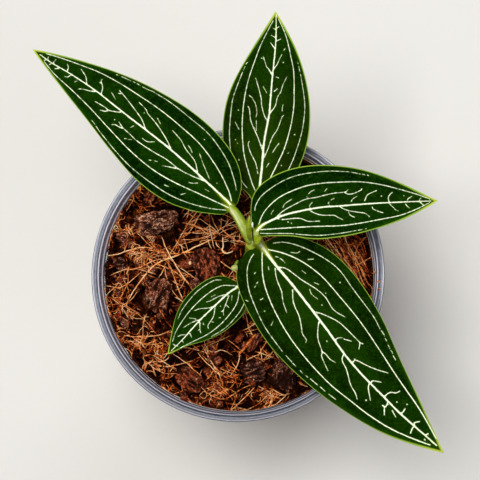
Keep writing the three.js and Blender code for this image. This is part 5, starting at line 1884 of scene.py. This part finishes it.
class ORCHID_OT_mix(BuildStep):
    """Bed of crumb with its fibres"""
    bl_idname = "orchid.mix"
    bl_label = "Potting mix"

    def execute(self, context):
        finishes = {"bed": finish_bed(self.colours), "coir": finish_coir(self.colours)}
        build_bed(finishes)
        build_fibres(self.sizes, finishes)
        return {"FINISHED"}


class ORCHID_OT_bark(BuildStep):
    """Bark chips and small husk crumbs"""
    bl_idname = "orchid.bark"
    bl_label = "Bark"

    def execute(self, context):
        finishes = {"bark": finish_bark(self.colours)}
        build_chips(finishes)
        build_crumbs(self.sizes, finishes)
        return {"FINISHED"}


class ORCHID_OT_stem(BuildStep):
    """Stem with its sheath, the roots, the young rolled leaf and a bud"""
    bl_idname = "orchid.stem"
    bl_label = "Stem"

    def execute(self, context):
        finishes = {"stem": finish_stem(self.colours), "petiole": finish_petiole(self.colours)}
        build_stem(finishes)
        build_heart(finishes)
        return {"FINISHED"}


class ORCHID_OT_leaves(BuildStep):
    """Five leaves with their nerves and stalks"""
    bl_idname = "orchid.leaves"
    bl_label = "Leaves"

    def execute(self, context):
        finishes = {"blade": finish_blade(self.colours), "underside": finish_underside(self.colours),
                    "petiole": finish_petiole(self.colours)}
        for name, leaf in LEAVES.items():
            build_leaf(name, leaf, self.sizes, finishes)
        return {"FINISHED"}


class ORCHID_OT_stage(BuildStep):
    """Pale floor, soft lamps and the camera"""
    bl_idname = "orchid.stage"
    bl_label = "Stage"

    def execute(self, context):
        build_stage(finish_floor(self.colours))
        return {"FINISHED"}


STEPS = (ORCHID_OT_pot, ORCHID_OT_mix, ORCHID_OT_bark, ORCHID_OT_stem, ORCHID_OT_leaves, ORCHID_OT_stage)


class ORCHID_PT_panel(bpy.types.Panel):
    """Lists the steps, the sizes and the colours."""
    bl_idname = "ORCHID_PT_panel"
    bl_label = "Jewel Orchid"
    bl_space_type = "VIEW_3D"
    bl_region_type = "UI"
    bl_category = "Jewel Orchid"

    def draw(self, context):
        for step in STEPS:
            self.layout.operator(step.bl_idname)
        for group in (context.scene.orchid_sizes, context.scene.orchid_colours):
            box = self.layout.box()
            for name in group.__annotations__:
                box.prop(group, name)


CLASSES = (OrchidSizes, OrchidColours, *STEPS, ORCHID_PT_panel)


def register():
    for cls in CLASSES:
        bpy.utils.register_class(cls)
    bpy.types.Scene.orchid_sizes = PointerProperty(type=OrchidSizes)
    bpy.types.Scene.orchid_colours = PointerProperty(type=OrchidColours)


def unregister():
    del bpy.types.Scene.orchid_colours
    del bpy.types.Scene.orchid_sizes
    for cls in reversed(CLASSES):
        bpy.utils.unregister_class(cls)


def main():
    """Registers the add-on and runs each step."""
    register()
    for step in STEPS:
        group, name = step.bl_idname.split(".")
        getattr(getattr(bpy.ops, group), name)()


if __name__ == "__main__":
    main()
